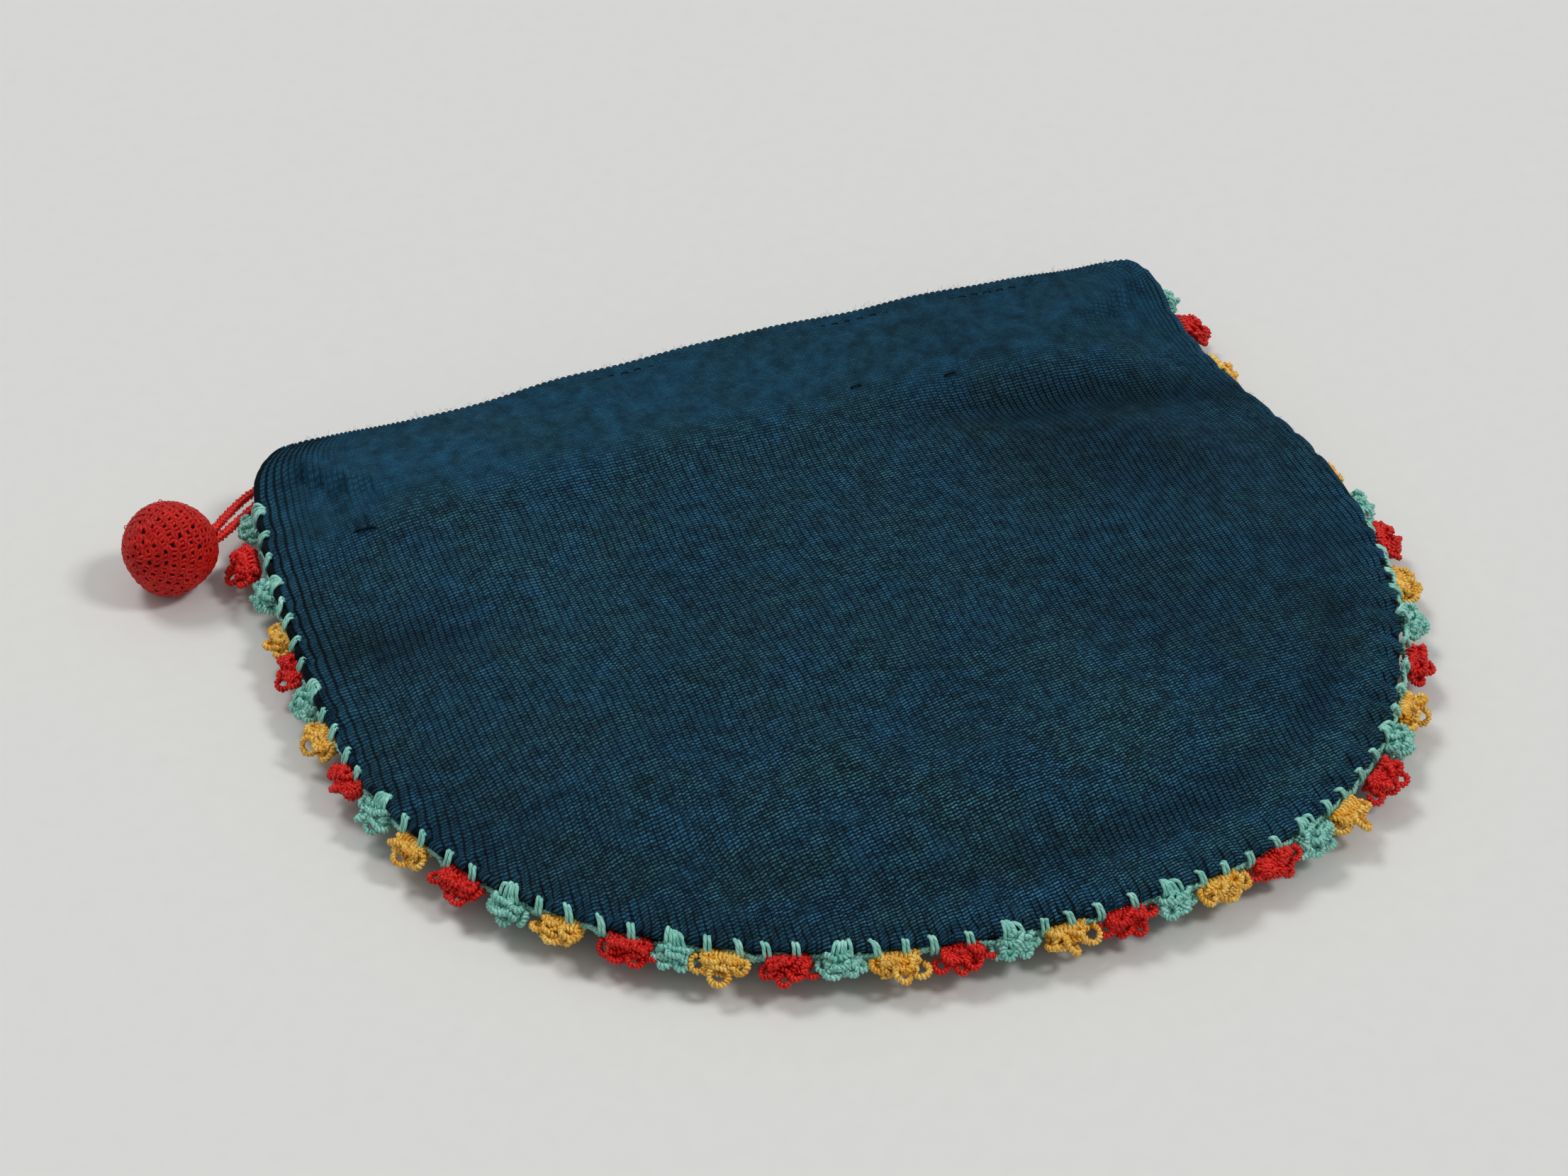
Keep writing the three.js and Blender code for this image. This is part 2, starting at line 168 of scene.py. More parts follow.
def addStrands(bundle, strands, radius, sides=6):
    groups = {}
    for strand in strands:
        groups.setdefault(len(strand), []).append(strand)
    for n, group in groups.items():
        paths = np.array(group)
        paths[:, :, 2] = np.maximum(paths[:, :, 2], radius + 0.03)  # nothing goes into the table
        _, normal, binormal = carriedFrames(paths)
        angle = 2 * np.pi * np.arange(sides) / sides
        ring = normal[:, :, None] * np.cos(angle)[:, None] + binormal[:, :, None] * np.sin(angle)[:, None]
        bundle["verts"].append((paths[:, :, None] + ring * radius).reshape(-1, 3))
        i, j = np.meshgrid(np.arange(n - 1), np.arange(sides), indexing="ij")
        k = (j + 1) % sides
        quad = np.stack([i * sides + j, i * sides + k, (i + 1) * sides + k, (i + 1) * sides + j], -1)
        starts = bundle["count"] + np.arange(len(group)) * n * sides
        bundle["quads"].append((starts[:, None, None] + quad.reshape(-1, 4)).reshape(-1, 4))
        s = np.stack([lengthAlong(p) for p in paths])
        u = np.stack([s[:, i], s[:, i], s[:, i + 1], s[:, i + 1]], -1)
        v = np.broadcast_to(np.stack([j, j + 1, j + 1, j], -1) / sides, u.shape)
        bundle["uvs"].append(np.stack([u, v], -1).reshape(-1, 2))
        first = np.arange(sides)[::-1]
        bundle["caps"] += [list(c + first) for c in starts]
        bundle["caps"] += [list(c + (n - 1) * sides + first[::-1]) for c in starts]
        bundle["count"] += len(group) * n * sides


def bundlePiece(bundle, name, material):
    faces = [list(q) for q in np.concatenate(bundle["quads"]).tolist()] + bundle["caps"]
    uv = np.concatenate(bundle["uvs"] + [np.zeros((sum(map(len, bundle["caps"])), 2))])
    return meshPiece(name, np.concatenate(bundle["verts"]), faces, uv, material)


def gridFaces(rows, columns):
    # quads of a grid of points, and the points round its rim
    index = np.arange(rows * columns).reshape(rows, columns)
    quads = np.stack([index[:-1, :-1], index[1:, :-1], index[1:, 1:], index[:-1, 1:]], -1).reshape(-1, 4)
    return quads, np.concatenate([index[0, :-1], index[:-1, -1], index[-1, :0:-1], index[:0:-1, 0]])


def meshPiece(name, verts, faces, uv, material):
    mesh = bpy.data.meshes.new(name)
    mesh.from_pydata((np.asarray(verts) * mm).tolist(), [], faces)
    layer = mesh.uv_layers.new(name="lay")
    layer.data.foreach_set("uv", np.asarray(uv, np.float32).ravel())
    mesh.shade_smooth()
    mesh.materials.append(material)
    piece = bpy.data.objects.new(name, mesh)
    bpy.context.scene.collection.objects.link(piece)
    return piece


# outline of the pouch, in millimetres: x across, depth below the mouth

pouch = {
    "mouthY": 65.0, "middleX": 0.8, "cloth": 1.5, "gap": 0.3,
    "mouthHalf": 71.5, "wideHalf": 75.5, "wideDepth": 50.0, "roundDepth": 74.7,
    "roundPower": 2.25, "roundLean": 6.0, "rightTuck": 2.4, "cornerRadius": 6.0,
    "seamZ": 5.5, "partDepth": 18.0, "liftLeft": 4.3, "liftRight": 4.4, "backDrop": 1.2,
    "crown": 0.9, "backMouthRise": 1.0, "backMouthDepth": 14.0, "mouthEdgeDepth": 24.0,
    "ribPitch": 0.98, "ribRise": 0.22, "mouthRib": 0.24, "edgeRib": 4.6, "edgeBulge": 0.75, "lipDrop": 0.4,
    "hemDepth": 2.6, "hemPitch": 2.1, "hemDent": 0.3, "backRib": 0.08, "slackReach": 14.0,
    # at the edge loops: width of a pinch, then rise, dip and width of the swell and the scallop
    "pinch": 1.05, "swell": (0.34, 0.8, 2.8), "scallop": (0.3, 0.6, 1.6), "lipWide": 2.4, "dropWide": 1.8,
    # low waves of the cloth, and how its ribs wander: rise, turns along x and depth, start
    "waves": [(0.16, 0.21, 0.13, 0.7), (0.13, 0.09, -0.26, 2.1), (0.10, 0.33, -0.17, 4.0)],
    "wander": [(0.35, 0.05, 0.13, 0), (0.2, -0.11, 0.31, 1)],
    # along the seam, how far the front rim stands out over the edging
    "lip": [(0, 0.8), (20, 1.2), (195, 1.3), (222, 1.2), (243, 0.0), (285, 0), (300, -0.8), (318, -0.6),
            (330, -1.1), (350, -1.4)],
    # inward from the seam: flat flange, then the rise to the body
    "profile": [(0, 0), (0.5, 0), (4, 0.06), (8, 0.13), (12, 0.45), (18, 0.83), (27, 1), (90, 1)],
    "frontTop": [(0, 12.5), (10, 12.6), (18, 12.2), (27, 10.9), (45, 11), (70, 11.3), (95, 10.8), (125, 9.4)],
    "mouthEdge": [(-72, 0), (-66, -0.6), (-57, -1.4), (-42, -1.1), (-18, 0.4), (10, 0.9), (45, 0.9),
                  (66, 0.5)],
    # x, depth, turn, half-length, half-width, rise
    "folds": [
        (48, 29, -7, 27, 5, -2.1), (33, 79, -52, 18, 8, -0.7), (-60, 46, -21, 14, 6, -1.0),
        (-23, 52, -60, 14, 10, -0.4), (64, 31.5, -8, 9, 2.2, -0.7), (66, 71, 10, 12, 4.5, -0.8),
        (62, 85, -20, 12, 4.5, -0.7),
    ],
    # the same columns for patches of painted shade and painted light on the front: positive ones darker,
    # negative ones paler
    "shadePatches": [
        (46, 45, -8, 22, 12, 0.62), (-66, 84, -60, 22, 9, 0.55), (-48, 108, -40, 16, 6, 0.5),
        (54, 107, 45, 12, 6, 0.5), (-40, 46, 80, 16, 11, -0.5), (-52, 12, 0, 22, 8, -0.6),
        (-5, 12, 0, 30, 9, -0.35), (34, 12, 0, 12, 6, 0.3), (20, 96, 90, 18, 9, -0.25),
        (40, 108, 20, 9, 6, -0.45), (-71, 42, 90, 8, 6, 0.3), (-60, 33, 0, 8, 6, -0.4),
        (-64, 46, -25, 9, 3.5, 0.35), (52, 48, 0, 14, 8, 0.3), (5, 85, 80, 14, 8, 0.25),
        (0, 116, 0, 40, 4, 0.25), (38, 38, 0, 13, 6, 0.5), (48, 74, 0, 24, 20, 0.22),
        (-32, 78, 0, 7, 8, 0.3), (-70, 84, -70, 10, 5, 0.3), (-34, 115, -15, 14, 5, 0.35),
    ],
}


faceUp = {"front": 1, "back": -1}


def seamHalf(depth, side):
    wide = pouch["wideHalf"]
    up = 1 - depth / pouch["wideDepth"]
    tuck = pouch["rightTuck"] * np.sin(np.pi * depth / pouch["wideDepth"]) ** 2 if side > 0 else 0
    return wide - (wide - pouch["mouthHalf"]) * up * up - tuck


def roundEnd(count, inset=0.0):
    angle = np.pi * (1 - np.linspace(0, 1, count))
    power = 2 / pouch["roundPower"]
    down = np.clip(np.sin(angle), 0, None) ** power
    across = np.sign(np.cos(angle)) * np.abs(np.cos(angle)) ** power * (pouch["wideHalf"] - inset)
    return across + pouch["roundLean"] * down**4, pouch["wideDepth"] + (pouch["roundDepth"] - inset) * down


def cornerCut(depth):
    radius = pouch["cornerRadius"]
    return radius - np.sqrt(radius**2 - np.clip(radius - depth, 0, radius) ** 2)


def outline(rounded):
    depth = np.linspace(0, pouch["wideDepth"], 260)[:-1]
    cut = cornerCut(depth) if rounded else 0
    left = np.column_stack([-(seamHalf(depth, -1) - cut), depth])
    right = np.column_stack([seamHalf(depth, 1) - cut, depth])[::-1]
    return np.vstack([left, np.column_stack(roundEnd(900)), right])


seam = outline(False)
seamLength = lengthAlong(seam)
edge = outline(True)
edgeAlong = np.interp(np.arange(len(edge)), np.arange(len(seam)), seamLength)


def seamAt(along):
    # place (x, y), and the directions along the seam and out of it
    def spot(a):
        return np.array([np.interp(a, seamLength, seam[:, 0]) + pouch["middleX"],
                         pouch["mouthY"] - np.interp(a, seamLength, seam[:, 1])])
    tangent = spot(along + 0.4) - spot(along - 0.4)
    tangent /= np.linalg.norm(tangent)
    return spot(along), tangent, np.array([tangent[1], -tangent[0]])


def eased(table, blur):
    # a table's values between its rows, with its corners rounded over the blur
    rows = np.array(table, float)
    low, high = rows[0, 0] - 4 * blur, rows[-1, 0] + 4 * blur
    at = np.linspace(low, high, 2000)
    step = at[1] - at[0]
    half = int(3 * blur / step)
    weight = np.exp(-0.5 * (np.arange(-half, half + 1) * step / blur) ** 2)
    value = np.interp(at, rows[:, 0], rows[:, 1])
    soft = np.convolve(np.pad(value, half, mode="edge"), weight / weight.sum(), mode="valid")
    return lambda v: np.interp(v, at, soft)


profileShare = eased(pouch["profile"], 1.3)
topHeight = eased(pouch["frontTop"], 3.0)
mouthLift = eased(pouch["mouthEdge"], 7.0)
lipReach = eased(pouch["lip"], 4.0)


def nearestEdge(x, depth):
    away, at = np.empty(len(x)), np.empty(len(x), int)
    for start in range(0, len(x), 3000):
        part = slice(start, start + 3000)
        gap = (x[part, None] - edge[:, 0]) ** 2 + (depth[part, None] - edge[:, 1]) ** 2
        at[part] = gap.argmin(axis=1)
        away[part] = np.sqrt(gap.min(axis=1))
    return away, at


def spread(rows, x, depth):
    # sum of soft patches, such as folds
    total = np.zeros_like(x)
    for foldX, foldDepth, turn, long, wide, rise in rows:
        c, s = math.cos(math.radians(turn)), math.sin(math.radians(turn))
        dx, dy = x - foldX, foldDepth - depth
        total += rise * np.exp(-(((dx * c + dy * s) / long) ** 2) - ((dy * c - dx * s) / wide) ** 2)
    return total


def faceHeight(face, x, depth):
    # height of the outer side of a panel, and how far in from its edge a point is
    x, depth = np.asarray(x, float), np.asarray(depth, float)
    inward, at = nearestEdge(x, depth)
    part = np.clip(1 - edge[at, 1] / pouch["partDepth"], 0, None) ** 2
    share = profileShare(inward)
    if face == "front":
        lift = np.where(edge[at, 0] < 0, pouch["liftLeft"], pouch["liftRight"])
        flange = pouch["seamZ"] + pouch["gap"] / 2 + lift * part + pouch["cloth"]
        fade = np.clip(1 - depth / pouch["mouthEdgeDepth"], 0, None) ** 2
        body = topHeight(depth) - pouch["crown"] * (x / pouch["wideHalf"]) ** 2
        body = body + fade * mouthLift(x) + spread(pouch["folds"], x, depth)
    else:
        flange = pouch["seamZ"] - pouch["gap"] / 2 - pouch["backDrop"] * part - pouch["cloth"]
        body = pouch["backMouthRise"] * np.clip(1 - depth / pouch["backMouthDepth"], 0, None) ** 2
    return flange + (body - flange) * share, inward, at


# edging: where the shells and loops sit along the seam

edging = {
    "shells": 42, "chainZ": 4.8, "start": 6.5, "stop": 339.5, "root": 0.8, "droop": 9.0,
    "strand": 0.27, "fanStrand": 0.28,
    # along the seam, how far out the chain lies
    "chainOut": [(0, 1.05), (272, 1.05), (286, -0.4), (318, -0.6), (326, -0.5), (334, 0.0), (345, 0.4)],
    # thread wound on a picot: radius and pitch of the winding, then the thread and the chain inside
    "winding": (0.27, 0.46), "thread": 0.25, "inside": 0.28,
    # the same for the knotting at the root, the thread whipped over it, and the plait of the chain
    "knotWinding": (0.2, 0.5), "knotThread": 0.24, "whipping": 0.27, "plait": (0.33, 0.19, 1.9, 0.0),
    # shell, place along the seam, size, droop in degrees, pulled out by
    "stations": [
        (1, 9.6, 0.85, 4, 0.3), (2, 16.8, 1.22, 12, 1.6), (3, 25.2, 1.05, 6, 0.2), (4, 35.6, 0.84, 5, 0),
        (5, 41.4, 1, 5, 0), (14, 114.5, 1.02, 4, 0), (16, 127, 0.98, 3, 0), (24, 184.5, 1, 3, 0),
        (28, 213.5, 1.04, 4, 0.9), (29, 221, 1.06, 5, 1.2), (31, 236, 1.03, 6, 0.4),
        (35, 271.5, 1.06, 10, 0.2), (36, 280, 1, 22, 0.2), (38, 300, 0.8, 74, -0.6),
        (39, 309, 0.84, 70, -0.3), (40, 318.3, 0.84, 40, 0.5), (41, 329.6, 1.0, 15, 0.2),
        (42, 338, 0.8, 10, -0.1),
    ],
    "loopShares": (0.2, 0.38, 0.57, 0.76),
    # along the seam, how far in the loops reach: up the right side the front cloth hangs over them
    "loopReach": [(0, 0.0), (215, -0.2), (250, -0.3), (266, -2), (400, -2)],
    "fanReach": [(0, 0.3), (14, 0.5), (225, 0.3), (262, 0.1), (275, -2), (400, -2)],
    # size of a shell, then its picots: across, out, radius and height, as shares of that size
    "kinds": {
        "mint": {"half": 3.4, "reach": 3.9, "thick": 2.9, "wraps": 0, "knots": 3, "shift": -0.1,
                 "low": [(-0.7, 0.36, 0.21, -0.1), (-0.28, 0.62, 0.24, 0.0), (0.26, 0.6, 0.23, 0.1),
                         (0.7, 0.34, 0.21, 0.0)],
                 "high": [(0.0, 0.32, 0.23, 0.6), (-0.42, 0.16, 0.21, 0.6), (0.42, 0.14, 0.21, 0.6),
                          (0.0, 0.06, 0.19, 0.75)]},
        "red": {"half": 4.15, "reach": 4.35, "thick": 3.3, "wraps": 6, "knots": 4, "shift": 0.5,
                "low": [(-0.72, 0.34, 0.2, -0.1), (-0.26, 0.68, 0.2, 0.0), (0.22, 0.66, 0.19, 0.0),
                        (0.7, 0.42, 0.22, -0.1)],
                "high": [(-0.4, 0.36, 0.18, 0.45), (0.36, 0.4, 0.19, 0.5), (0.0, 0.3, 0.19, 0.6)]},
        "gold": {"half": 3.95, "reach": 4.6, "thick": 3.2, "wraps": 8, "knots": 2, "shift": -0.45,
                 "low": [(-0.64, 0.46, 0.24, 0.0), (0.0, 0.66, 0.27, 0.1), (0.64, 0.4, 0.23, 0.0)],
                 "high": [(-0.3, 0.42, 0.19, 0.5), (0.32, 0.4, 0.19, 0.45)]},
    },
}
stationRows = np.array(edging["stations"], float)
chainReach = eased(edging["chainOut"], 2.0)


def shellKind(number):
    return "mint" if number == 1 else ("mint", "gold", "red")[number % 3]


def shellStation(number):
    numbers, *columns = stationRows.T
    along, size, droop, pulled = (np.interp(number, numbers, column) for column in columns)
    along += edging["kinds"][shellKind(number)]["shift"] * (3 < number < 38)
    return along, size * (1 + 0.03 * math.sin(number * 2.4)), math.radians(droop), pulled


def loopPlaces():
    fans = [shellStation(n)[0] for n in range(1, edging["shells"] + 1) if shellKind(n) == "mint"]
    rng = np.random.default_rng(11)
    places = []
    for low, high in zip(fans[:-1], fans[1:]):
        shares = edging["loopShares"] if high - low > 18 else (0.32, 0.64)
        places += [low + (high - low) * (s + rng.normal(0, 0.018)) for s in shares]
    return fans, places


fanPlaces, singleLoops = loopPlaces()
pinches = np.array(sorted(fanPlaces + singleLoops))


def clothHeight(face, x, depth):
    # the loops pinch the edge, and the cloth swells between them
    height, inward, at = faceHeight(face, x, depth)
    pinch = bell(edgeAlong[at][:, None] - pinches, pouch["pinch"]).sum(axis=1)
    pinch = pinch * np.interp(edgeAlong[at], [255, 280], [1, 0.35])
    rise, dip, wide = pouch["swell"]
    swell = (rise - dip * pinch) * bell(inward, wide)
    if face == "front":
        return height + swell - pouch["lipDrop"] * bell(inward, pouch["dropWide"]), inward, at, pinch
    return height - swell, inward, at, pinch


def onFace(face, along, inward):
    # point on a panel, a way in from the seam
    place, _, outward = seamAt(along)
    x, y = place - outward * inward
    height = clothHeight(face, [x - pouch["middleX"]], [pouch["mouthY"] - y])[0][0]
    return np.array([x, y, height])


# materials

def weaveMaterial():
    # ribbed cotton and viscose cloth, woven and piece-dyed: fine ribs with rows of short paler floats,
    # a cloudy dye and little gloss
    look = {"valley": "#021420", "warp": "#01070d", "float": "#46768e", "blue": "#25628c", "green": "#336b72",
            "band": "#153647", "bandBlue": "#163d53", "rib": pouch["ribPitch"], "floatPitch": 0.52,
            "closer": 0.004, "aslant": -0.1, "uneven": 0.25,
            # sizes in millimetres of the noise in the weave and the dye
            "waver": 5.0, "sway": 11.0, "cloud": 13.0, "patch": 2.6, "wearAndShade": 4.5, "fibre": 0.25}
    material, tree = newMaterial("ribbed_cotton_viscose")
    lay = addNode(tree, "UVMap", uv_map="lay")
    ribRiseAndShade = addNode(tree, "Attribute", attribute_name="ribRiseAndShade")
    paintedShading = addNode(tree, "Attribute", attribute_name="paintedShading")
    parts = addNode(tree, "SeparateXYZ", links={0: lay})
    waver = addNode(tree, "TexNoise", {"Scale": 1 / look["waver"], "Detail": 3.0}, {"Vector": lay})
    wander = addNode(tree, "Math", {1: 0.5}, {0: waver}, operation="MULTIPLY")
    across = addNode(tree, "Math", {1: 1 / look["rib"]}, {0: parts.outputs[0], 2: wander},
                     operation="MULTIPLY_ADD")
    within = addNode(tree, "Math", links={0: across}, operation="FRACT")
    ribTurn = addNode(tree, "Math", {1: math.pi}, {0: within}, operation="MULTIPLY")
    ridge = addNode(tree, "Math", links={0: ribTurn}, operation="SINE")
    # two columns of floats to a rib, in rows that run on across the ribs, closer together on the right
    pairTurn = addNode(tree, "Math", {1: 2 * math.pi}, {0: within}, operation="MULTIPLY")
    pairWave = addNode(tree, "Math", links={0: pairTurn}, operation="SINE")
    pair = addNode(tree, "Math", links={0: pairWave}, operation="ABSOLUTE")
    twice = addNode(tree, "Math", {1: 2.0}, {0: across}, operation="MULTIPLY")
    column = addNode(tree, "Math", links={0: twice}, operation="FLOOR")
    uneven = addNode(tree, "TexWhiteNoise", links={1: column}, noise_dimensions="1D")
    sway = addNode(tree, "TexNoise", {"Scale": 1 / look["sway"], "Detail": 1.0}, {"Vector": lay})
    shift = addNode(tree, "Math", {1: look["uneven"]}, {0: uneven}, operation="MULTIPLY")
    drift = addNode(tree, "Math", {1: 2.6}, {0: sway, 2: shift}, operation="MULTIPLY_ADD")
    aslant = addNode(tree, "Math", {1: look["aslant"]}, {0: parts.outputs[0], 2: drift},
                     operation="MULTIPLY_ADD")
    close = addNode(tree, "Math", {1: look["closer"], 2: 1 / look["floatPitch"]}, {0: parts.outputs[0]},
                    operation="MULTIPLY_ADD")
    step = addNode(tree, "Math", links={0: parts.outputs[1], 1: close, 2: aslant}, operation="MULTIPLY_ADD")
    row = addNode(tree, "Math", links={0: step}, operation="FLOOR")
    inRow = addNode(tree, "Math", links={0: step}, operation="FRACT")
    rowTurn = addNode(tree, "Math", {1: math.pi}, {0: inRow}, operation="MULTIPLY")
    bar = addNode(tree, "Math", links={0: rowTurn}, operation="SINE")
    # a float is thickest in its middle and tapers to both ends
    fuller = addNode(tree, "Math", {1: 0.2}, {0: ridge, 2: pair}, operation="MULTIPLY_ADD")
    taper = addNode(tree, "MapRange", {1: 0.0, 2: 0.7, 3: 0.35, 4: 1.0}, {0: fuller})
    lens = addNode(tree, "Math", links={0: bar, 1: taper}, operation="MULTIPLY")
    brick = addNode(tree, "MapRange", {1: 0.42, 2: 0.9}, {0: lens}, interpolation_type="SMOOTHSTEP")
    ridgeCut = addNode(tree, "MapRange", {1: 0.1, 2: 0.6}, {0: ridge}, interpolation_type="SMOOTHSTEP")
    cell = addNode(tree, "CombineXYZ", links={0: column, 1: row})
    chance = addNode(tree, "TexWhiteNoise", links={0: cell}, noise_dimensions="2D")
    chanceCut = addNode(tree, "MapRange", {3: 0.25, 4: 1.1}, {0: chance})
    floatShare = addNode(tree, "Math", links={0: brick, 1: chanceCut}, operation="MULTIPLY")
    # cloudy dye, small patches where the floats are rubbed, and single fibres
    cloud = addNode(tree, "TexNoise", {"Scale": 1 / look["cloud"], "Detail": 5.0, "Roughness": 0.66},
                    {"Vector": lay})
    patch = addNode(tree, "TexNoise", {"Scale": 1 / look["patch"], "Detail": 3.0, "Roughness": 0.6},
                    {"Vector": lay})
    fibre = addNode(tree, "TexNoise", {"Scale": 1 / look["fibre"], "Detail": 2.0}, {"Vector": lay})
    cloudCut = addNode(tree, "MapRange", {1: 0.38, 2: 0.62}, {0: cloud}, interpolation_type="SMOOTHSTEP")
    patchCut = addNode(tree, "MapRange", {1: 0.3, 2: 0.7, 3: 0.6, 4: 1.4}, {0: patch})
    fibreCut = addNode(tree, "MapRange", {1: 0.25, 2: 0.75, 3: 0.65, 4: 1.35}, {0: fibre})
    tint = addNode(tree, "Mix", {6: linear(look["green"]), 7: linear(look["blue"])}, {0: cloudCut},
                   data_type="RGBA")
    floatTint = addNode(tree, "Mix", {0: 0.65, 6: linear(look["float"])}, {7: tint}, data_type="RGBA")
    ground = addNode(tree, "Mix", {6: linear(look["valley"]), 7: linear(look["warp"])}, {0: ridgeCut},
                     data_type="RGBA")
    woven = addNode(tree, "Mix", links={0: floatShare, 6: ground, 7: floatTint}, data_type="RGBA")
    # painted sheen: the band over the zip is given a soft sheen colour that blurs the floats away; the left
    # side and some patches are rubbed soft the same way, so that the floats show less
    sheenBandPart = addNode(tree, "MapRange", {1: 26.0, 2: 15.0, 3: 0.0, 4: 0.85}, {0: parts.outputs[1]},
                       interpolation_type="SMOOTHSTEP")
    leftPart = addNode(tree, "MapRange", {1: -15.0, 2: -55.0, 3: 0.0, 4: 0.12}, {0: parts.outputs[0]},
                       interpolation_type="SMOOTHSTEP")
    wearAndShade = addNode(tree, "TexNoise", {"Scale": 1 / look["wearAndShade"], "Detail": 3.0, "Roughness": 0.6},
                   {"Vector": lay})
    wearCut = addNode(tree, "MapRange", {1: 0.5, 2: 0.68, 3: 0.0, 4: 0.35}, {0: wearAndShade})
    worn = addNode(tree, "Math", links={0: leftPart, 1: wearCut}, operation="ADD")
    sheenAndWear = addNode(tree, "Math", links={0: sheenBandPart, 1: worn}, operation="MAXIMUM")
    band = addNode(tree, "Mix", {6: linear(look["band"]), 7: linear(look["bandBlue"])}, {0: cloudCut},
                   data_type="RGBA")
    banded = addNode(tree, "Mix", links={0: sheenAndWear, 6: woven, 7: band}, data_type="RGBA")
    # painted shade: where the cloth turns down, its ribs are painted as rows of lit blocks with shade lines
    # between
    ribLight = addNode(tree, "MapRange", {1: 0.28, 2: 0.9, 3: 0.0, 4: 1.42}, {0: ridge},
                       interpolation_type="SMOOTHSTEP")
    rowLight = addNode(tree, "MapRange", {1: 0.1, 2: 0.85, 3: 0.25, 4: 1.35}, {0: bar})
    blocks = addNode(tree, "Math", links={0: ribLight, 1: rowLight}, operation="MULTIPLY")
    ribbed = addNode(tree, "VectorMath", links={0: band, 1: blocks}, operation="MULTIPLY")
    openHere = addNode(tree, "Math", {1: 0.85}, {0: ribRiseAndShade.outputs["Fac"]}, operation="MULTIPLY")
    opened = addNode(tree, "Mix", links={0: openHere, 6: banded, 7: ribbed}, data_type="RGBA")
    # painted shade: the colour is darkened in the folds, the groove and the shade patches, and made paler
    # with painted light on the ridge and the light patches
    deepen = addNode(tree, "Math", {1: -0.42, 2: 0.94}, {0: paintedShading.outputs["Fac"]}, operation="MULTIPLY_ADD")
    tone = addNode(tree, "Math", links={0: patchCut, 1: deepen}, operation="MULTIPLY")
    grain = addNode(tree, "Math", links={0: tone, 1: fibreCut}, operation="MULTIPLY")
    shaded = addNode(tree, "VectorMath", links={0: opened, 1: grain}, operation="MULTIPLY")
    bump = addNode(tree, "Bump", {"Strength": 0.6, "Distance": 0.0001}, {"Height": brick})
    fineBump = addNode(tree, "Bump", {"Strength": 0.35, "Distance": 0.00005},
                       {"Height": fibre, "Normal": bump})
    shader = addNode(tree, "BsdfPrincipled", {
        "Roughness": 0.62, "Specular IOR Level": 0.05, "Sheen Weight": 0.02, "Sheen Roughness": 0.4,
        "Sheen Tint": linear("#6fb0d0")}, {"Base Color": shaded, "Normal": fineBump})
    addNode(tree, "OutputMaterial", links={0: shader})
    return material


def threadMaterial(name, main, deep, pale, gloss):
    # mercerised cotton crochet thread: two glossy plies twisted together, with painted shade in the groove
    # between them
    look = {"plies": 2.0, "twist": 1.15, "cloud": 1.8}
    material, tree = newMaterial(name)
    lay = addNode(tree, "UVMap", uv_map="lay")
    parts = addNode(tree, "SeparateXYZ", links={0: lay})
    turns = addNode(tree, "Math", {1: 1 / look["twist"]}, {0: parts.outputs[0]}, operation="MULTIPLY")
    around = addNode(tree, "Math", {1: look["plies"]}, {0: parts.outputs[1], 2: turns},
                     operation="MULTIPLY_ADD")
    within = addNode(tree, "Math", links={0: around}, operation="FRACT")
    plyTurn = addNode(tree, "Math", {1: math.pi}, {0: within}, operation="MULTIPLY")
    ply = addNode(tree, "Math", links={0: plyTurn}, operation="SINE")
    plyCut = addNode(tree, "MapRange", {1: 0.0, 2: 0.5}, {0: ply}, interpolation_type="SMOOTHSTEP")
    place = addNode(tree, "TexCoord")
    cloud = addNode(tree, "TexNoise", {"Scale": 1 / (look["cloud"] * mm), "Detail": 2.0},
                    {"Vector": place.outputs["Object"]})
    cloudCut = addNode(tree, "MapRange", {1: 0.35, 2: 0.7}, {0: cloud})
    body = addNode(tree, "Mix", {6: linear(main), 7: linear(pale)}, {0: cloudCut}, data_type="RGBA")
    # painted shade: the deep colour fills the groove between the plies
    grooved = addNode(tree, "Mix", {6: linear(deep)}, {0: plyCut, 7: body}, data_type="RGBA")
    bump = addNode(tree, "Bump", {"Strength": 0.4, "Distance": 0.00008}, {"Height": plyCut})
    shader = addNode(tree, "BsdfPrincipled", {
        "Roughness": 0.34, "Specular IOR Level": gloss, "Sheen Weight": 0.04, "Sheen Roughness": 0.4,
        "Sheen Tint": linear(pale)}, {"Base Color": grooved, "Normal": bump})
    addNode(tree, "OutputMaterial", links={0: shader})
    return material


def plainMaterial(name, colour, dark, grain, roughness, metallic=0.0):
    # a plain finish with a little grain in its colour and surface
    material, tree = newMaterial(name)
    place = addNode(tree, "TexCoord")
    noise = addNode(tree, "TexNoise", {"Scale": 1 / (grain * mm), "Detail": 3.0},
                    {"Vector": place.outputs["Object"]})
    tone = addNode(tree, "Mix", {6: linear(dark), 7: linear(colour)}, {0: noise}, data_type="RGBA")
    bump = addNode(tree, "Bump", {"Strength": 0.2, "Distance": 0.1 * grain * mm}, {"Height": noise})
    shader = addNode(tree, "BsdfPrincipled",
                     {"Roughness": roughness, "Metallic": metallic, "Specular IOR Level": 0.3},
                     {"Base Color": tone, "Normal": bump})
    addNode(tree, "OutputMaterial", links={0: shader})
    return material


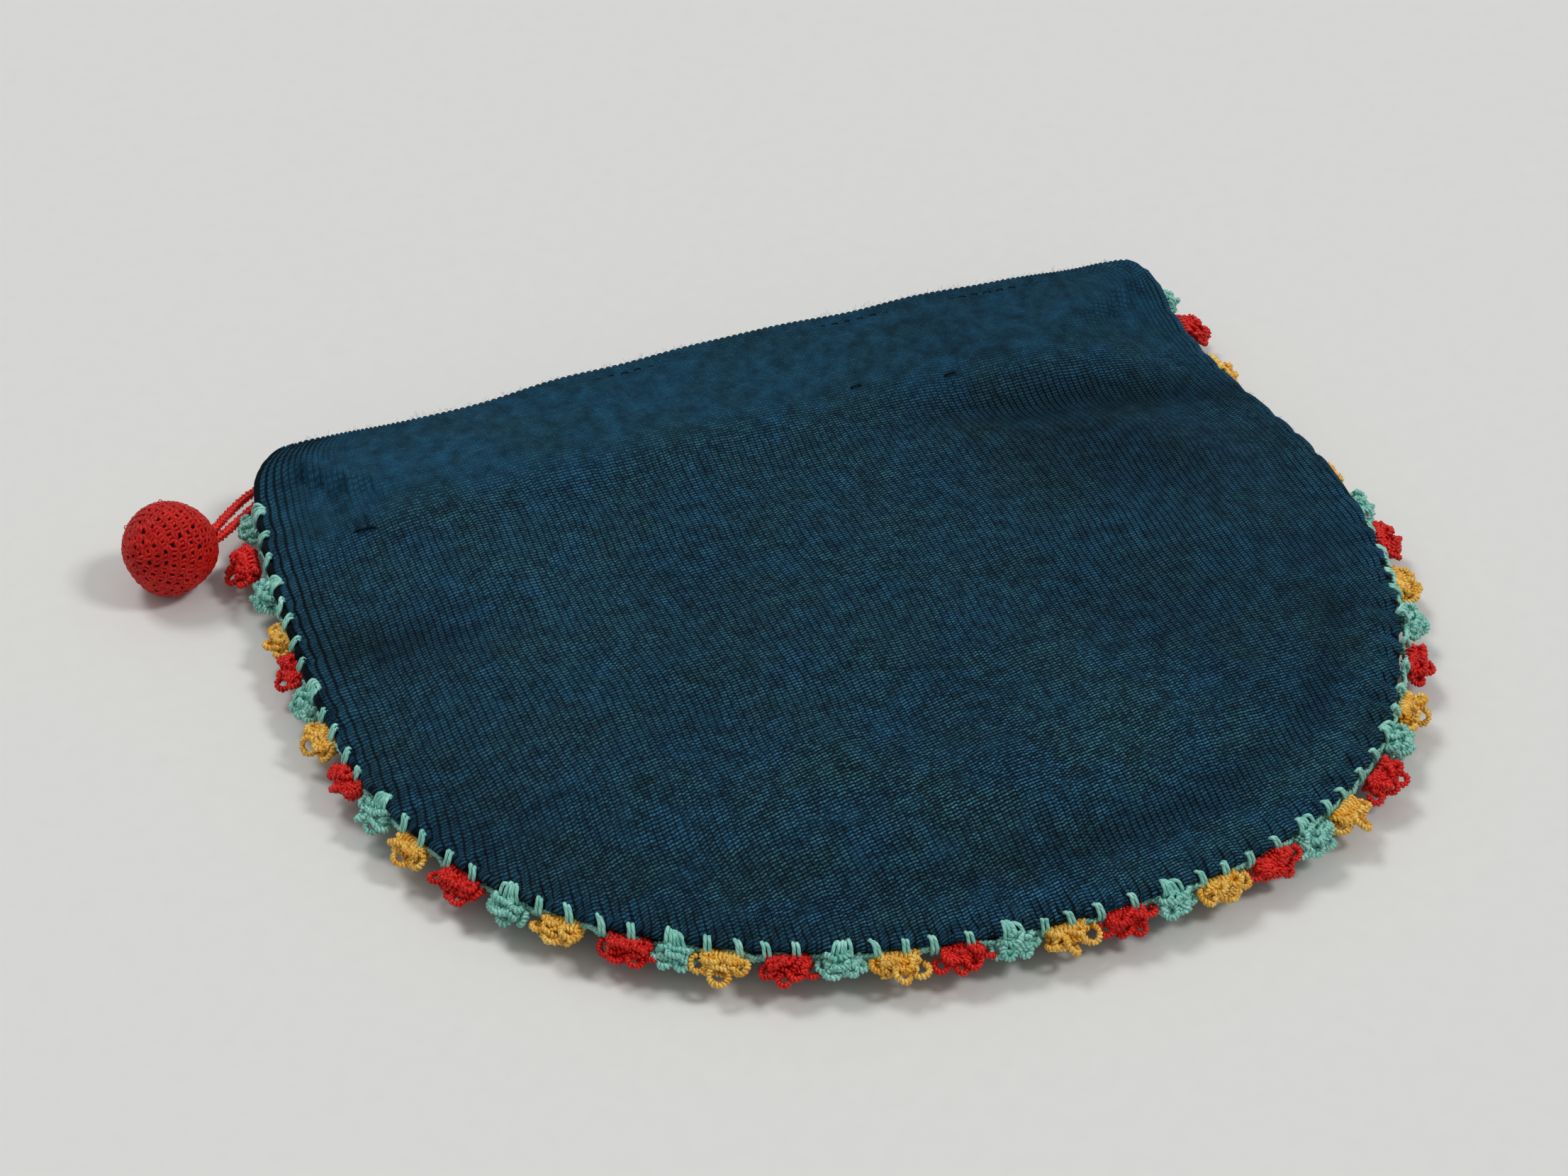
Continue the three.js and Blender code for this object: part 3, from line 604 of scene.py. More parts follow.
cloth = weaveMaterial()
mintThread = threadMaterial("mint_cotton_thread", "#80c8b9", "#58a697", "#abe6d9", 0.45)
redThread = threadMaterial("red_cotton_thread", "#d6150f", "#a50a07", "#ee2a1e", 0.35)
# a darker copy of the red thread, for the ball
darkRedThread = threadMaterial("worn_red_cotton_thread", "#ba100b", "#880705", "#d5221a", 0.2)
goldThread = threadMaterial("gold_cotton_thread", "#f0ae28", "#c98414", "#ffda70", 0.6)
navyThread = threadMaterial("navy_sewing_thread", "#07202c", "#020a10", "#123645", 0.1)
looseFibre = plainMaterial("loose_cotton_fibre", "#5a7480", "#3a525e", 0.4, 0.9)
# painted shade: the wadding inside the ball is coloured as dark as the shade behind the stitches
wadding = plainMaterial("red_wadding", "#420504", "#280202", 0.6, 0.9)
tapeCloth = plainMaterial("navy_polyester_tape", "#16303e", "#0c1d27", 0.5, 0.75)
zipMetal = plainMaterial("dark_nickel", "#8b8f92", "#6d7174", 0.4, 0.38, 1.0)
threads = {"mint": mintThread, "red": redThread, "gold": goldThread}
print("materials made")


# red pull: the cord first, then the ball

pull = {
    "diameter": 1.6, "start": (-50.3, 5.5, 6.2),
    # x, depth, z: one half of the doubled cord, and the other half, which parts from it at the corner
    "route": [(-58, 2.8, 6.0), (-66, 0.7, 5.7), (-72, 1.2, 5.1), (-77, 4.4, 4.6)],
    "other": [(-57.6, 3.4, 5.6), (-65, 2.0, 5.0), (-71.2, 2.9, 4.5), (-76.0, 6.0, 4.1), (-79.2, 8.3, 3.9)],
    "ball": (-87.3, 12.0, 6.72), "radius": 7.0, "axis": (0.84, 0.42, -0.34),
    "rounds": 16, "stitch": 1.6, "leg": 0.3, "ridge": 0.28, "sunk": 0.62, "wadding": 1.3, "strand": 0.3,
    # half-width, half-thickness, pitch and start of the plaits
    "plait": (0.44, 0.34, 2.0, 0.0), "otherPlait": (0.43, 0.33, 2.0, 1.0),
    # loose loops on the ball: side, up and size
    "looseLoops": [(-0.9, 0.43, 0.8), (-0.2, 0.98, 0.7), (-0.62, 0.78, 0.45)], "looseStrand": 0.07,
}


def placed(row):
    x, depth, z = row
    return np.array([x + pouch["middleX"], pouch["mouthY"] - depth, z])


ballMiddle = placed(pull["ball"])
ballAxis = np.array(pull["axis"]) / np.linalg.norm(pull["axis"])


def makeCord():
    ends = placed(pull["start"]), ballMiddle + ballAxis * (pull["radius"] - 0.3)
    centre = evenly(flowing([ends[0]] + [placed(r) for r in pull["route"]] + [ends[1]], 240), 0.25)
    second = [ends[0] - [0, 0.9, 0.3]] + [placed(r) for r in pull["other"]] + [ends[1] + [-0.5, -0.9, -0.5]]
    bundle = newBundle()
    addStrands(bundle, plait(centre, *pull["plait"]), pull["strand"], 6)
    addStrands(bundle, plait(evenly(flowing(second, 240), 0.25), *pull["otherPlait"]), pull["strand"], 6)
    return bundlePiece(bundle, "pullCord", redThread), centre, lengthAlong(centre)[-1]


def makeBall():
    bundle = newBundle()
    rng = np.random.default_rng(4)
    # stitches are worked in rounds from the small hole, on the pole away from the cord
    pole = -ballAxis
    east = np.cross(pole, [0, 0, 1.0])
    east /= np.linalg.norm(east)
    north = np.cross(pole, east)
    rounds, radius = pull["rounds"], pull["radius"]

    def onBall(theta, phi, r):
        ringPart = east * np.cos(phi)[:, None] + north * np.sin(phi)[:, None]
        return ballMiddle + r[:, None] * (pole * np.cos(theta)[:, None] + ringPart * np.sin(theta)[:, None])

    def lumpy(theta, phi):
        lumps = 0.12 * np.sin(3 * phi + 2 * theta) * np.sin(theta) + 0.08 * np.sin(5 * theta + 1)
        return radius - pull["sunk"] + lumps

    step = math.pi / (rounds + 0.5)
    share = np.linspace(0, 1, 7)
    legs, tops = [], []
    for k in range(rounds):
        theta = (k + 0.55) * step
        count = max(6, int(round(2 * math.pi * radius * math.sin(theta + 0.4 * step) / pull["stitch"])))
        width = 2 * math.pi / count
        # two strands of chain make the ridge of each round
        turn = np.linspace(0, 2 * math.pi, 6 * count + 1)
        for side in (-1, 1):
            ripple = 0.1 * side + 0.09 * np.sin(count * turn + 2.0 * side) + 0.05 * np.sin(2 * turn + k)
            wave = theta + step * ripple
            tops.append(onBall(wave, turn, lumpy(wave, turn) + 0.1 + 0.07 * np.cos(count * turn + side)))
        # posts of two strands run to the next round, with a hole between one post and the next
        for n in range(count):
            phi = (n + 0.42 * k) * width + rng.normal(0, 0.07) * width
            lean0 = 0.14 * width + rng.normal(0, 0.07) * width
            out = lumpy(theta, phi) - 0.12 + rng.normal(0, 0.06)
            for lean in (-1, 1):
                fanned = lean * width * (0.15 + 0.05 * np.sin(np.pi * share)) + lean0 * share
                legs.append(onBall(theta + step * (1.1 * share - 0.05), phi + fanned,
                                   out + 0.2 * np.sin(np.pi * share)))
    addStrands(bundle, legs, pull["leg"], 6)
    for ridge in tops:
        addStrands(bundle, [ridge], pull["ridge"], 5)
    # loose loops of thread that stand off the top left
    right, upward = np.array([0.932, -0.361, 0.0]), np.array([0.227, 0.586, 0.777])
    for side, high, size in pull["looseLoops"]:
        away = (right * side + upward * high) / math.hypot(side, high)
        along = np.cross(away, [0.5, -0.6, 0.6])
        along /= np.linalg.norm(along)
        t = np.linspace(0, 2 * math.pi, 18)[:, None]
        ring = ballMiddle + away * (radius - 0.65 + size * (0.5 - 0.5 * np.cos(t)))
        ring = ring + along * (0.45 * size * np.sin(t))
        addStrands(bundle, [ring], pull["looseStrand"], 5)
    ball = bundlePiece(bundle, "pullBall", darkRedThread)
    # a core with painted shade shows through the holes between the stitches
    bpy.ops.object.select_all(action="DESELECT")
    bpy.ops.mesh.primitive_uv_sphere_add(segments=32, ring_count=16, radius=(radius - pull["wadding"]) * mm,
                                         location=ballMiddle * mm)
    core = bpy.context.object
    core.name = "pullBallCore"
    bpy.ops.object.transform_apply(location=True)
    core.data.shade_smooth()
    core.data.materials.append(wadding)
    return ball, core


pullCord, cordPath, cordLength = makeCord()
pullBall, pullBallCore = makeBall()
print("pull made: cord", round(cordLength, 1), "mm")


# cloth panels

def ribHeight(x):
    return np.abs(np.sin(np.pi * x / pouch["ribPitch"])) ** 0.8


def waved(rows, x, depth):
    return sum(rise * np.sin(a * x + b * depth + c) for rise, a, b, c in rows)


def panelGrid(perRib, rowDepths):
    # columns lie along the ribs, and near the sides they follow the outline
    bulge, pitch = pouch["edgeBulge"], pouch["ribPitch"]
    half = pouch["wideHalf"] - bulge
    count = int(2 * half / (pitch / perRib))
    base = (np.arange(count + 1) - count / 2) * pitch / perRib
    bottom = np.interp(base, *roundEnd(1200, bulge))
    bottom[[0, -1]] = pouch["wideDepth"] + 3
    rows = np.array(rowDepths)
    share = (rows - rows[0]) / (rows[-1] - rows[0])
    depth = rows[0] + share[:, None] * (bottom - rows[0])
    column = np.broadcast_to(base, depth.shape)
    side = np.where(column < 0, -1.0, 1.0)
    shallow = np.minimum(depth, pouch["wideDepth"])
    halfHere = np.where(column < 0, seamHalf(shallow, -1), seamHalf(shallow, 1)) - cornerCut(depth) - bulge
    t = ramp(np.abs(column) / half, 0.6, 0.4)
    return column, column - side * (half - halfHere) * t * t * (3 - 2 * t), depth


# ramps and widths that place the painted rib shade and the painted shading on the cloth
wearAndShade = {
    # start and span of the ramps: by slope, depth or x
    "steep": (0.1, 0.3), "upper": (34, -16), "belowBand": (18, 8), "right": (20, 25),
    "lower": (70, 30), "lowRight": (-10, 20),
    # how far in from the edge, and how wide: a groove with painted shade and a ridge beside it with painted
    # light
    "groove": (8.5, 3.0), "ridge": (3.0, 2.2),
}


def clothMarks(face, x, depth, inward, slope):
    # the first mark says where the ribs stand up and where shade is painted between them; the second says
    # where shade is painted into the folds, the groove and patches, and light onto the ridge and other
    # patches
    steep = ramp(slope, *wearAndShade["steep"]) * (0.8 - 0.52 * ramp(depth, *wearAndShade["upper"]))
    sides = np.clip((70 - depth) / 25, 0.25, 1)
    ribRiseAndShade = np.maximum(steep, sides * bell(inward, pouch["edgeRib"]))
    middle = (0.42 + 0.3 * ramp(x, *wearAndShade["right"])) * ramp(depth, *wearAndShade["belowBand"])
    ribRiseAndShade = np.maximum(ribRiseAndShade, middle * np.clip((108 - depth) / 35, 0.1, 1))
    low = ramp(depth, *wearAndShade["lower"]) * (0.35 + 0.65 * ramp(x, *wearAndShade["lowRight"]))
    (groove, grooveWide), (ridge, ridgeWide) = wearAndShade["groove"], wearAndShade["ridge"]
    # painted shade in the fold valleys and deeper in the groove, with painted light on the ridge beside it
    paintedShading = np.clip(-spread(pouch["folds"], x, depth) / 1.5, 0, 1)
    paintedShading = paintedShading + 0.75 * low * bell(inward - groove, grooveWide)
    paintedShading = paintedShading - 0.35 * low * bell(inward - ridge, ridgeWide)
    if face == "front":
        # in the fold valleys the ribs also stand up, with painted shade between them
        ribRiseAndShade = np.maximum(ribRiseAndShade, np.clip(0.9 * paintedShading, 0, 0.9))
        # patches of painted shade and painted light
        paintedShading = paintedShading + spread(pouch["shadePatches"], x, depth)
    return ribRiseAndShade, np.clip(paintedShading, -0.9, 1.2)


def wallPiece(name, face, outer, lay, shape, marks):
    # the outer side, the inner side and a rounded rim between them, all the way round
    r, c = shape
    quads, loop = gridFaces(r, c)
    rim = outer[loop]
    tangent = np.roll(rim, -1, axis=0) - np.roll(rim, 1, axis=0)
    outwards = np.column_stack([tangent[:, 1], -tangent[:, 0]])
    outwards /= np.linalg.norm(outwards, axis=1, keepdims=True) + 1e-9
    if np.sum(outwards * (rim[:, :2] - rim[:, :2].mean(axis=0))) < 0:
        outwards = -outwards
    ribbed = 1 + 0.3 * (ribHeight(lay[loop, 0]) - 0.6)
    verts, uvs, rings = [outer, outer - [0, 0, faceUp[face] * pouch["cloth"]]], [lay, lay], [loop]
    total = 2 * r * c
    turns = (30, 60, 90, 120, 150)
    for turn in turns:
        angle = math.radians(turn)
        ringPoints = rim.copy()
        ringPoints[:, :2] += outwards * (pouch["edgeBulge"] * math.sin(angle) * ribbed)[:, None]
        ringPoints[:, 2] -= faceUp[face] * pouch["cloth"] * (0.5 - 0.5 * math.cos(angle))
        verts.append(ringPoints)
        ringUv = lay[loop].copy()
        ringUv[:, 1] -= outwards[:, 1] * pouch["edgeBulge"] * angle
        uvs.append(ringUv)
        rings.append(total + np.arange(len(loop)))
        total += len(loop)
    rings.append(loop + r * c)
    faces = [quads, quads[:, ::-1] + r * c]
    for first, second in zip(rings[:-1], rings[1:]):
        faces.append(np.stack([first, np.roll(first, -1), np.roll(second, -1), second], -1))
    faces = np.concatenate(faces)
    if face == "back":
        faces = faces[:, ::-1]
    piece = meshPiece(name, np.concatenate(verts), faces.tolist(), np.concatenate(uvs)[faces.ravel()], cloth)
    for mark, values in marks.items():
        layer = piece.data.attributes.new(mark, "FLOAT", "POINT")
        values = np.concatenate([values, values] + [values[loop]] * len(turns))
        layer.data.foreach_set("value", values.astype(np.float32))
    return piece


def panelPiece(name, face, perRib, rowDepths):
    column, gridX, gridDepth = panelGrid(perRib, rowDepths)
    shape = column.shape
    x, depth = gridX.ravel(), gridDepth.ravel()
    height, inward, at, pinch = clothHeight(face, x, depth)
    inward = np.maximum(inward - pouch["edgeBulge"], 0)
    out = np.column_stack([edge[at, 0] - x, edge[at, 1] - depth])
    out /= np.linalg.norm(out, axis=1, keepdims=True) + 1e-9
    rise, dip, wide = pouch["scallop"]
    scallop = (rise - dip * pinch) * bell(inward, wide)
    if face == "front":
        lip = lipReach(edgeAlong[at]) * bell(inward, pouch["lipWide"])
        scallop = scallop + lip * np.clip(0.2 + depth / 12, 0, 1)
    x = x + out[:, 0] * scallop
    depth = depth + out[:, 1] * scallop * ramp(depth, 2, 4)
    # slack of the cloth: low slow waves, less at the seam, and ribs that wander a little
    slack = ramp(inward, 0, pouch["slackReach"])
    x = x + slack * waved(pouch["wander"], x, depth)
    grid = height.reshape(shape)
    slopeX = np.gradient(grid, axis=1) / np.maximum(np.gradient(x.reshape(shape), axis=1), 0.02)
    slopeY = np.gradient(grid, axis=0) / np.maximum(np.gradient(depth.reshape(shape), axis=0), 0.02)
    ribRiseAndShade, paintedShading = clothMarks(face, x, depth, inward, np.hypot(slopeX, slopeY).ravel())
    if face == "front":
        height = height + slack * waved(pouch["waves"], x, depth)
        stitched = 0.3 + 0.7 / (1 + np.exp(-(x + 22) / 5))
        dent = 0.55 + 0.45 * np.cos(2 * np.pi * x / pouch["hemPitch"])
        height = height - pouch["hemDent"] * stitched * dent * bell(depth - pouch["hemDepth"], 0.6)
        ribs = 0.03 + 0.03 * ramp(depth, 12, 12) + pouch["mouthRib"] * bell(depth, 1.6)
        ribs = np.maximum(ribs, pouch["ribRise"] * ribRiseAndShade)
    else:
        ribs = np.full(len(x), pouch["backRib"])
    height = height + faceUp[face] * ribs * (ribHeight(column.ravel()) - 0.7)
    if face == "back":
        height = np.maximum(height, 0.02)  # nothing goes into the table
    outer = np.column_stack([x + pouch["middleX"], pouch["mouthY"] - depth, height])
    lay = np.column_stack([column.ravel(), depth])
    return wallPiece(name, face, outer, lay, shape, {"ribRiseAndShade": ribRiseAndShade, "paintedShading": paintedShading})


def rowsDown(fine, coarse, last):
    rows = [0.75, 1.2, 1.7, 2.2, 2.7, 3.2, 3.9, 4.8, 6.0, 7.6]
    while rows[-1] < 94:
        rows.append(rows[-1] + coarse)
    rest = int((last - rows[-1]) / fine)
    return rows + list(np.linspace(rows[-1], last, rest + 1)[1:])


lastDepth = pouch["wideDepth"] + pouch["roundDepth"] - pouch["edgeBulge"]
frontPanel = panelPiece("frontPanel", "front", 4, rowsDown(1.2, 2.4, lastDepth))
backPanel = panelPiece("backPanel", "back", 2, rowsDown(2.2, 4.0, lastDepth))
print("panels made:", len(frontPanel.data.polygons), len(backPanel.data.polygons), "faces")


# crochet edging

def shellPlacer(along, droop, pulled):
    place, _, outward = seamAt(along)
    place = place + outward * pulled
    out3, up3 = np.array([*outward, 0]), np.array([0, 0, 1.0])
    across = np.cross(out3, up3)
    origin = np.array([*place, edging["chainZ"]])
    droop += math.radians(edging["droop"])
    c, s = math.cos(droop), math.sin(droop)

    def put(points):
        a, o, h = np.asarray(points, float).T
        return origin + across * a[:, None] + out3 * (o * c + h * s)[:, None] + up3 * (h * c - o * s)[:, None]
    return put


def picot(middle, radius, tilt, spin, steps=32):
    # a small loop of chain that starts and ends on the side of the root
    t = np.linspace(0.05, 0.95, steps) * 2 * np.pi
    a, o = 0.95 * radius * np.sin(t), -radius * np.cos(t)
    o, h = o * math.cos(tilt), o * math.sin(tilt)
    a, h = a * math.cos(spin) + h * math.sin(spin), h * math.cos(spin) - a * math.sin(spin)
    return np.column_stack([a, o, h]) + middle


def knotting(rng, wide, middle, deep, thick, steps=110):
    # thread that winds through itself at the root of a shell
    t = np.linspace(0, 2 * np.pi, steps)
    p = rng.uniform(0, 2 * np.pi, 3)
    return np.column_stack([wide * np.sin(3 * t + p[0]), middle + deep * np.sin(4 * t + p[1]),
                            thick * np.sin(5 * t + p[2])])


def wrapping(wide, turns, middleOut, radiusOut, radiusUp, lean):
    # thread whipped tightly round the chain
    t = np.linspace(0, 1, int(turns * 16))
    angle = 2 * np.pi * turns * t
    return np.column_stack([wide * (2 * t - 1) + lean * np.cos(angle), middleOut + radiusOut * np.cos(angle),
                            radiusUp * np.sin(angle)])


def shellPiece(number):
    kind = shellKind(number)
    along, size, droop, pulled = shellStation(number)
    look = edging["kinds"][kind]
    rng = np.random.default_rng(100 + number)
    half, reach, thick = (look[k] * size for k in ("half", "reach", "thick"))
    put = shellPlacer(along, droop, pulled)
    bundle = newBundle()

    def chain(line):
        path = line.copy()
        path[:, 1] += edging["root"]
        path[:, 2] = np.clip(path[:, 2], -thick / 2 + 0.3, thick / 2)
        path = put(path)
        addStrands(bundle, [wound(path, *edging["winding"], rng)], edging["thread"], 4)
        addStrands(bundle, [evenly(path, 0.5)], edging["inside"], 4)

    for level, tilt, spin in (("low", (0.1, 0.4), 0.4), ("high", (0.7, 0.3), 0.5)):
        for across, out, radius, high in look[level]:
            spot = np.array([across * half, out * reach, high * thick / 2]) + rng.normal(0, 0.25, 3)
            loopRadius = radius * reach * (1 + rng.normal(0, 0.07))
            chain(picot(spot, loopRadius, rng.normal(*tilt), rng.normal(0, spin)))
    for deep in np.linspace(0.16, 0.46, look["knots"]):
        knot = knotting(rng, (0.72 - 0.4 * deep) * half, edging["root"] + deep * reach, 0.15 * reach,
                        0.25 * thick)
        addStrands(bundle, [wound(put(knot), *edging["knotWinding"], rng)], edging["knotThread"], 4)
    if look["wraps"]:
        coil = wrapping(0.58 * half, look["wraps"], chainReach(along) + 0.4, 0.8, 0.85, 0.22)
        addStrands(bundle, [evenly(put(coil), 0.28)], edging["whipping"], 5)
    piece = bundlePiece(bundle, "shell%02d_%s" % (number, kind), threads[kind])
    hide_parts("motif_%02d_%s" % (number, kind))
    return piece


def chainPiece():
    points = []
    for a in np.arange(edging["start"], edging["stop"], 0.5):
        place, _, outward = seamAt(a)
        sag = 0.2 * math.sin(1.31 * a) + 0.12 * math.sin(2.9 * a + 1)
        points.append([*(place + outward * (chainReach(a) + sag)),
                       edging["chainZ"] + 0.3 * math.sin(1.03 * a + 2)])
    bundle = newBundle()
    line = evenly(flowing(points, len(points) * 3), 0.26)
    addStrands(bundle, plait(line, *edging["plait"]), edging["thread"], 5)
    piece = bundlePiece(bundle, "edgingChain", mintThread)
    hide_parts("edging_chain")
    return piece


def edgeLoops():
    # overcast loops through both panels, and the fans that hold the mint shells
    rng = np.random.default_rng(21)
    bundle = newBundle()
    loopRows, fanRows = np.array(edging["loopReach"], float), np.array(edging["fanReach"], float)

    def strand(along, low, high, lean, inward, radius):
        place, _, outward = seamAt(along + low)
        tuck = chainReach(along)
        under, underIn = onFace("back", along + low * 0.6, 1.4), onFace("back", along + low * 0.3, 2.4)
        stops = [underIn + [0, 0, 0.6], underIn - [0, 0, 0.1], under - [0, 0, 0.22],
                 [*(place + outward * (tuck - 0.35)), 4.0],
                 [*(place + outward * (tuck + 0.4)), edging["chainZ"]]]
        if inward > -1:
            shift = [along + low + (high - low + lean) * s for s in (0.25, 0.7, 1)]
            top = [onFace("front", a, w) for a, w in zip(shift, (0.2, inward - 0.6, inward))]
            stops += [[*(place + outward * 1.55), 0.5 * (edging["chainZ"] + top[0][2])],
                      top[0] + [*(outward * 1.3), 0.1],
                      top[1] + [0, 0, 0.42], top[2] - [0, 0, 0.55]]
        else:
            stops += [[*(place + outward * (tuck - 0.55)), 6.0], [*(place + outward * (tuck - 1.45)), 6.3]]
        addStrands(bundle, [evenly(flowing(stops, 60), 0.35)], radius, 6)

    for along in singleLoops:
        lean = rng.normal(-0.6, 0.35)
        inward = np.interp(along, loopRows[:, 0], loopRows[:, 1]) + rng.normal(0, 0.2)
        for low, high in ((-0.29, -0.22), (0.29, 0.22)):
            strand(along, low + rng.normal(0, 0.04), high, lean, inward + rng.normal(0, 0.1),
                   edging["strand"])
    for along in fanPlaces:
        lean = rng.normal(-0.5, 0.5)
        reach = np.interp(along, fanRows[:, 0], fanRows[:, 1])
        for k in np.arange(-2, 2.5):
            strand(along, 0.6 * k + rng.normal(0, 0.1), 0.24 * k, lean,
                   reach - 0.16 * abs(k) + rng.normal(0, 0.16), edging["fanStrand"])
    return bundlePiece(bundle, "edgeLoops", mintThread)


edgingChain = chainPiece()
shells = [shellPiece(n) for n in range(1, edging["shells"] + 1)]
overcast = edgeLoops()
print("edging made:", sum(len(s.data.polygons) for s in shells), "faces in shells")


# sewing thread and fuzz on the front

sewing = {
    "first": -24.0, "last": 66.0, "thread": 0.1, "tack": 0.21,
    # share of the stitch's half-length, height over the cloth
    "stitch": [(-1, -0.45), (-0.6, -0.15), (0, -0.08), (0.6, -0.15), (1, -0.45)],
    "tackStitch": [(-1.1, -0.4), (-0.8, 0.14), (0, 0.2), (0.8, 0.14), (1.1, -0.4)],
    # x, depth, turn in degrees, length of the tacks that hold the zip
    "tacks": [(-61.6, 19.2, 84, 2.2), (-60.2, 19.4, 84, 2.2), (-61.0, 20.9, -18, 3.0), (15.5, 17.6, 8, 1.5),
              (29.9, 19.3, 6, 1.6)],
    "hairs": 700, "hair": 0.016,
}


def frontPoint(x, depth, above):
    return np.array([x + pouch["middleX"], pouch["mouthY"] - depth,
                     clothHeight("front", [x], [depth])[0][0] + above])


def sewnThreads():
    bundle = newBundle()
    rng = np.random.default_rng(5)
    x = sewing["first"]
    while x < sewing["last"]:
        reach = 0.55 + rng.normal(0, 0.06)
        depth = pouch["hemDepth"] + rng.normal(0, 0.06)
        stops = [frontPoint(x + f * reach, depth, h) for f, h in sewing["stitch"]]
        addStrands(bundle, [flowing(stops, 9)], sewing["thread"], 5)
        x += pouch["hemPitch"]
    for x, depth, turn, long in sewing["tacks"]:
        dx, dy = 0.5 * long * math.cos(math.radians(turn)), 0.5 * long * math.sin(math.radians(turn))
        stops = [frontPoint(x + f * dx, depth - f * dy, h) for f, h in sewing["tackStitch"]]
        addStrands(bundle, [flowing(stops, 11)], sewing["tack"], 5)
    return bundlePiece(bundle, "sewnThreads", navyThread)


def clothFuzz():
    # rubbed-up fibres along the mouth and the right side, drawn thicker than real ones so that they show
    bundle = newBundle()
    rng = np.random.default_rng(8)
    hairs = []
    for k in range(sewing["hairs"]):
        if k % 4:
            x, depth = rng.uniform(-66, 66), rng.uniform(0.1, 1.2)
            away = np.array([rng.normal(0, 0.5), rng.uniform(0.2, 1), rng.uniform(0.2, 1.0)])
        else:
            depth = rng.uniform(8, 60)
            x = seamHalf(min(depth, 50.0), 1) - rng.uniform(0.6, 2.5)
            away = np.array([rng.uniform(0.2, 1), rng.normal(0.3, 0.5), rng.uniform(0.2, 0.9)])
        long = rng.uniform(0.2, 0.6)
        curl = rng.normal(0, 0.35, 3)
        t = np.linspace(0, 1, 6)[:, None]
        hairs.append(frontPoint(x, depth, -0.1) + away * long * t + curl * long * t * t)
    addStrands(bundle, hairs, sewing["hair"], 3)
    return bundlePiece(bundle, "clothFuzz", looseFibre)


sewn = sewnThreads()
fuzz = clothFuzz()
print("sewing made")


# zip inside the mouth

zipper = {"first": 3.2, "last": 14.5, "half": 60.0, "tape": 0.9, "toothPitch": 1.5, "tooth": (1.0, 1.5, 1.1),
          "slider": (-47.0, 6.5, 6.2), "sliderSize": (6.0, 6.0, 6.6), "waist": (0.62, 0.72), "bevel": 0.5}


def tapeHeight(face, x, depth):
    return clothHeight(face, x, depth)[0] - faceUp[face] * (pouch["cloth"] + pouch["gap"])


def zipTape(name, face):
    gridX, gridDepth = np.meshgrid(np.linspace(-zipper["half"], zipper["half"], 121),
                                   np.linspace(zipper["first"], zipper["last"], 9))
    top = np.column_stack([gridX.ravel() + pouch["middleX"], pouch["mouthY"] - gridDepth.ravel(),
                           tapeHeight(face, gridX.ravel(), gridDepth.ravel())])
    low = top - [0, 0, faceUp[face] * zipper["tape"]]
    r, c = gridX.shape
    quads, loop = gridFaces(r, c)
    wall = np.stack([loop, np.roll(loop, -1), np.roll(loop, -1) + r * c, loop + r * c], -1)
    faces = np.concatenate([quads, quads[:, ::-1] + r * c, wall])
    if face == "back":
        faces = faces[:, ::-1]
    uv = np.vstack([np.column_stack([gridX.ravel(), gridDepth.ravel()])] * 2)
    return meshPiece(name, np.vstack([top, low]), faces.tolist(), uv[faces.ravel()], tapeCloth)


def zipTeeth():
    # one tooth with its corners cut, set along the edge of each tape
    wide, long, high = (0.5 * v for v in zipper["tooth"])
    rings = [(0.75, -1), (1, -0.6), (1, 0.6), (0.75, 1)]
    square = np.array([(-1, -1), (1, -1), (1, 1), (-1, 1)], float)
    tooth = np.array([(sx * wide * k, sy * long * k, h * high) for k, h in rings for sx, sy in square])
    ways = [(4 * r + n, 4 * r + (n + 1) % 4) for r in range(3) for n in range(4)]
    toothFaces = np.array([[a, b, b + 4, a + 4] for a, b in ways] + [[3, 2, 1, 0], [12, 13, 14, 15]])
    verts, faces = [], []
    for face, shift in (("front", 0.0), ("back", 0.5)):
        places = np.arange(-zipper["half"] + 2, zipper["half"] - 2, zipper["toothPitch"])
        places = places + shift * zipper["toothPitch"]
        places = places[np.abs(places - zipper["slider"][0]) > 4.2]
        heights = tapeHeight(face, places, np.full(len(places), zipper["first"]))
        heights = heights - faceUp[face] * 0.5 * zipper["tape"]
        for x, z in zip(places, heights):
            faces.append(toothFaces + 16 * len(verts))
            verts.append(tooth + [x + pouch["middleX"], pouch["mouthY"] - zipper["first"] + 0.2, z])
    faces = np.concatenate(faces)
    piece = meshPiece("zipTeeth", np.concatenate(verts), faces.tolist(), np.zeros((faces.size, 2)), zipMetal)
    piece.data.shade_flat()
    return piece


def zipSlider():
    bpy.ops.object.select_all(action="DESELECT")
    bpy.ops.mesh.primitive_cube_add(size=1, location=placed(zipper["slider"]) * mm)
    body = bpy.context.object
    body.name = "zipSlider"
    body.scale = [v * mm for v in zipper["sliderSize"]]
    bpy.ops.object.transform_apply(location=True, scale=True)
    # a waist between the two plates
    bpy.ops.object.mode_set(mode="EDIT")
    bpy.ops.mesh.select_mode(type="FACE")
    bpy.ops.mesh.select_all(action="SELECT")
    bpy.ops.mesh.subdivide(number_cuts=3)
    bpy.ops.object.mode_set(mode="OBJECT")
    middle = placed(zipper["slider"]) * mm
    for vertex in body.data.vertices:
        if abs(vertex.co.z - middle[2]) < 2 * mm:
            for k, share in enumerate(zipper["waist"]):
                vertex.co[k] = middle[k] + (vertex.co[k] - middle[k]) * share
    bevel = body.modifiers.new("rounded", "BEVEL")
    bevel.width, bevel.segments, bevel.limit_method = zipper["bevel"] * mm, 3, "ANGLE"
    bpy.ops.object.modifier_apply(modifier="rounded")
    bpy.ops.object.shade_smooth_by_angle(angle=math.radians(40))
    body.data.materials.append(zipMetal)
    return body


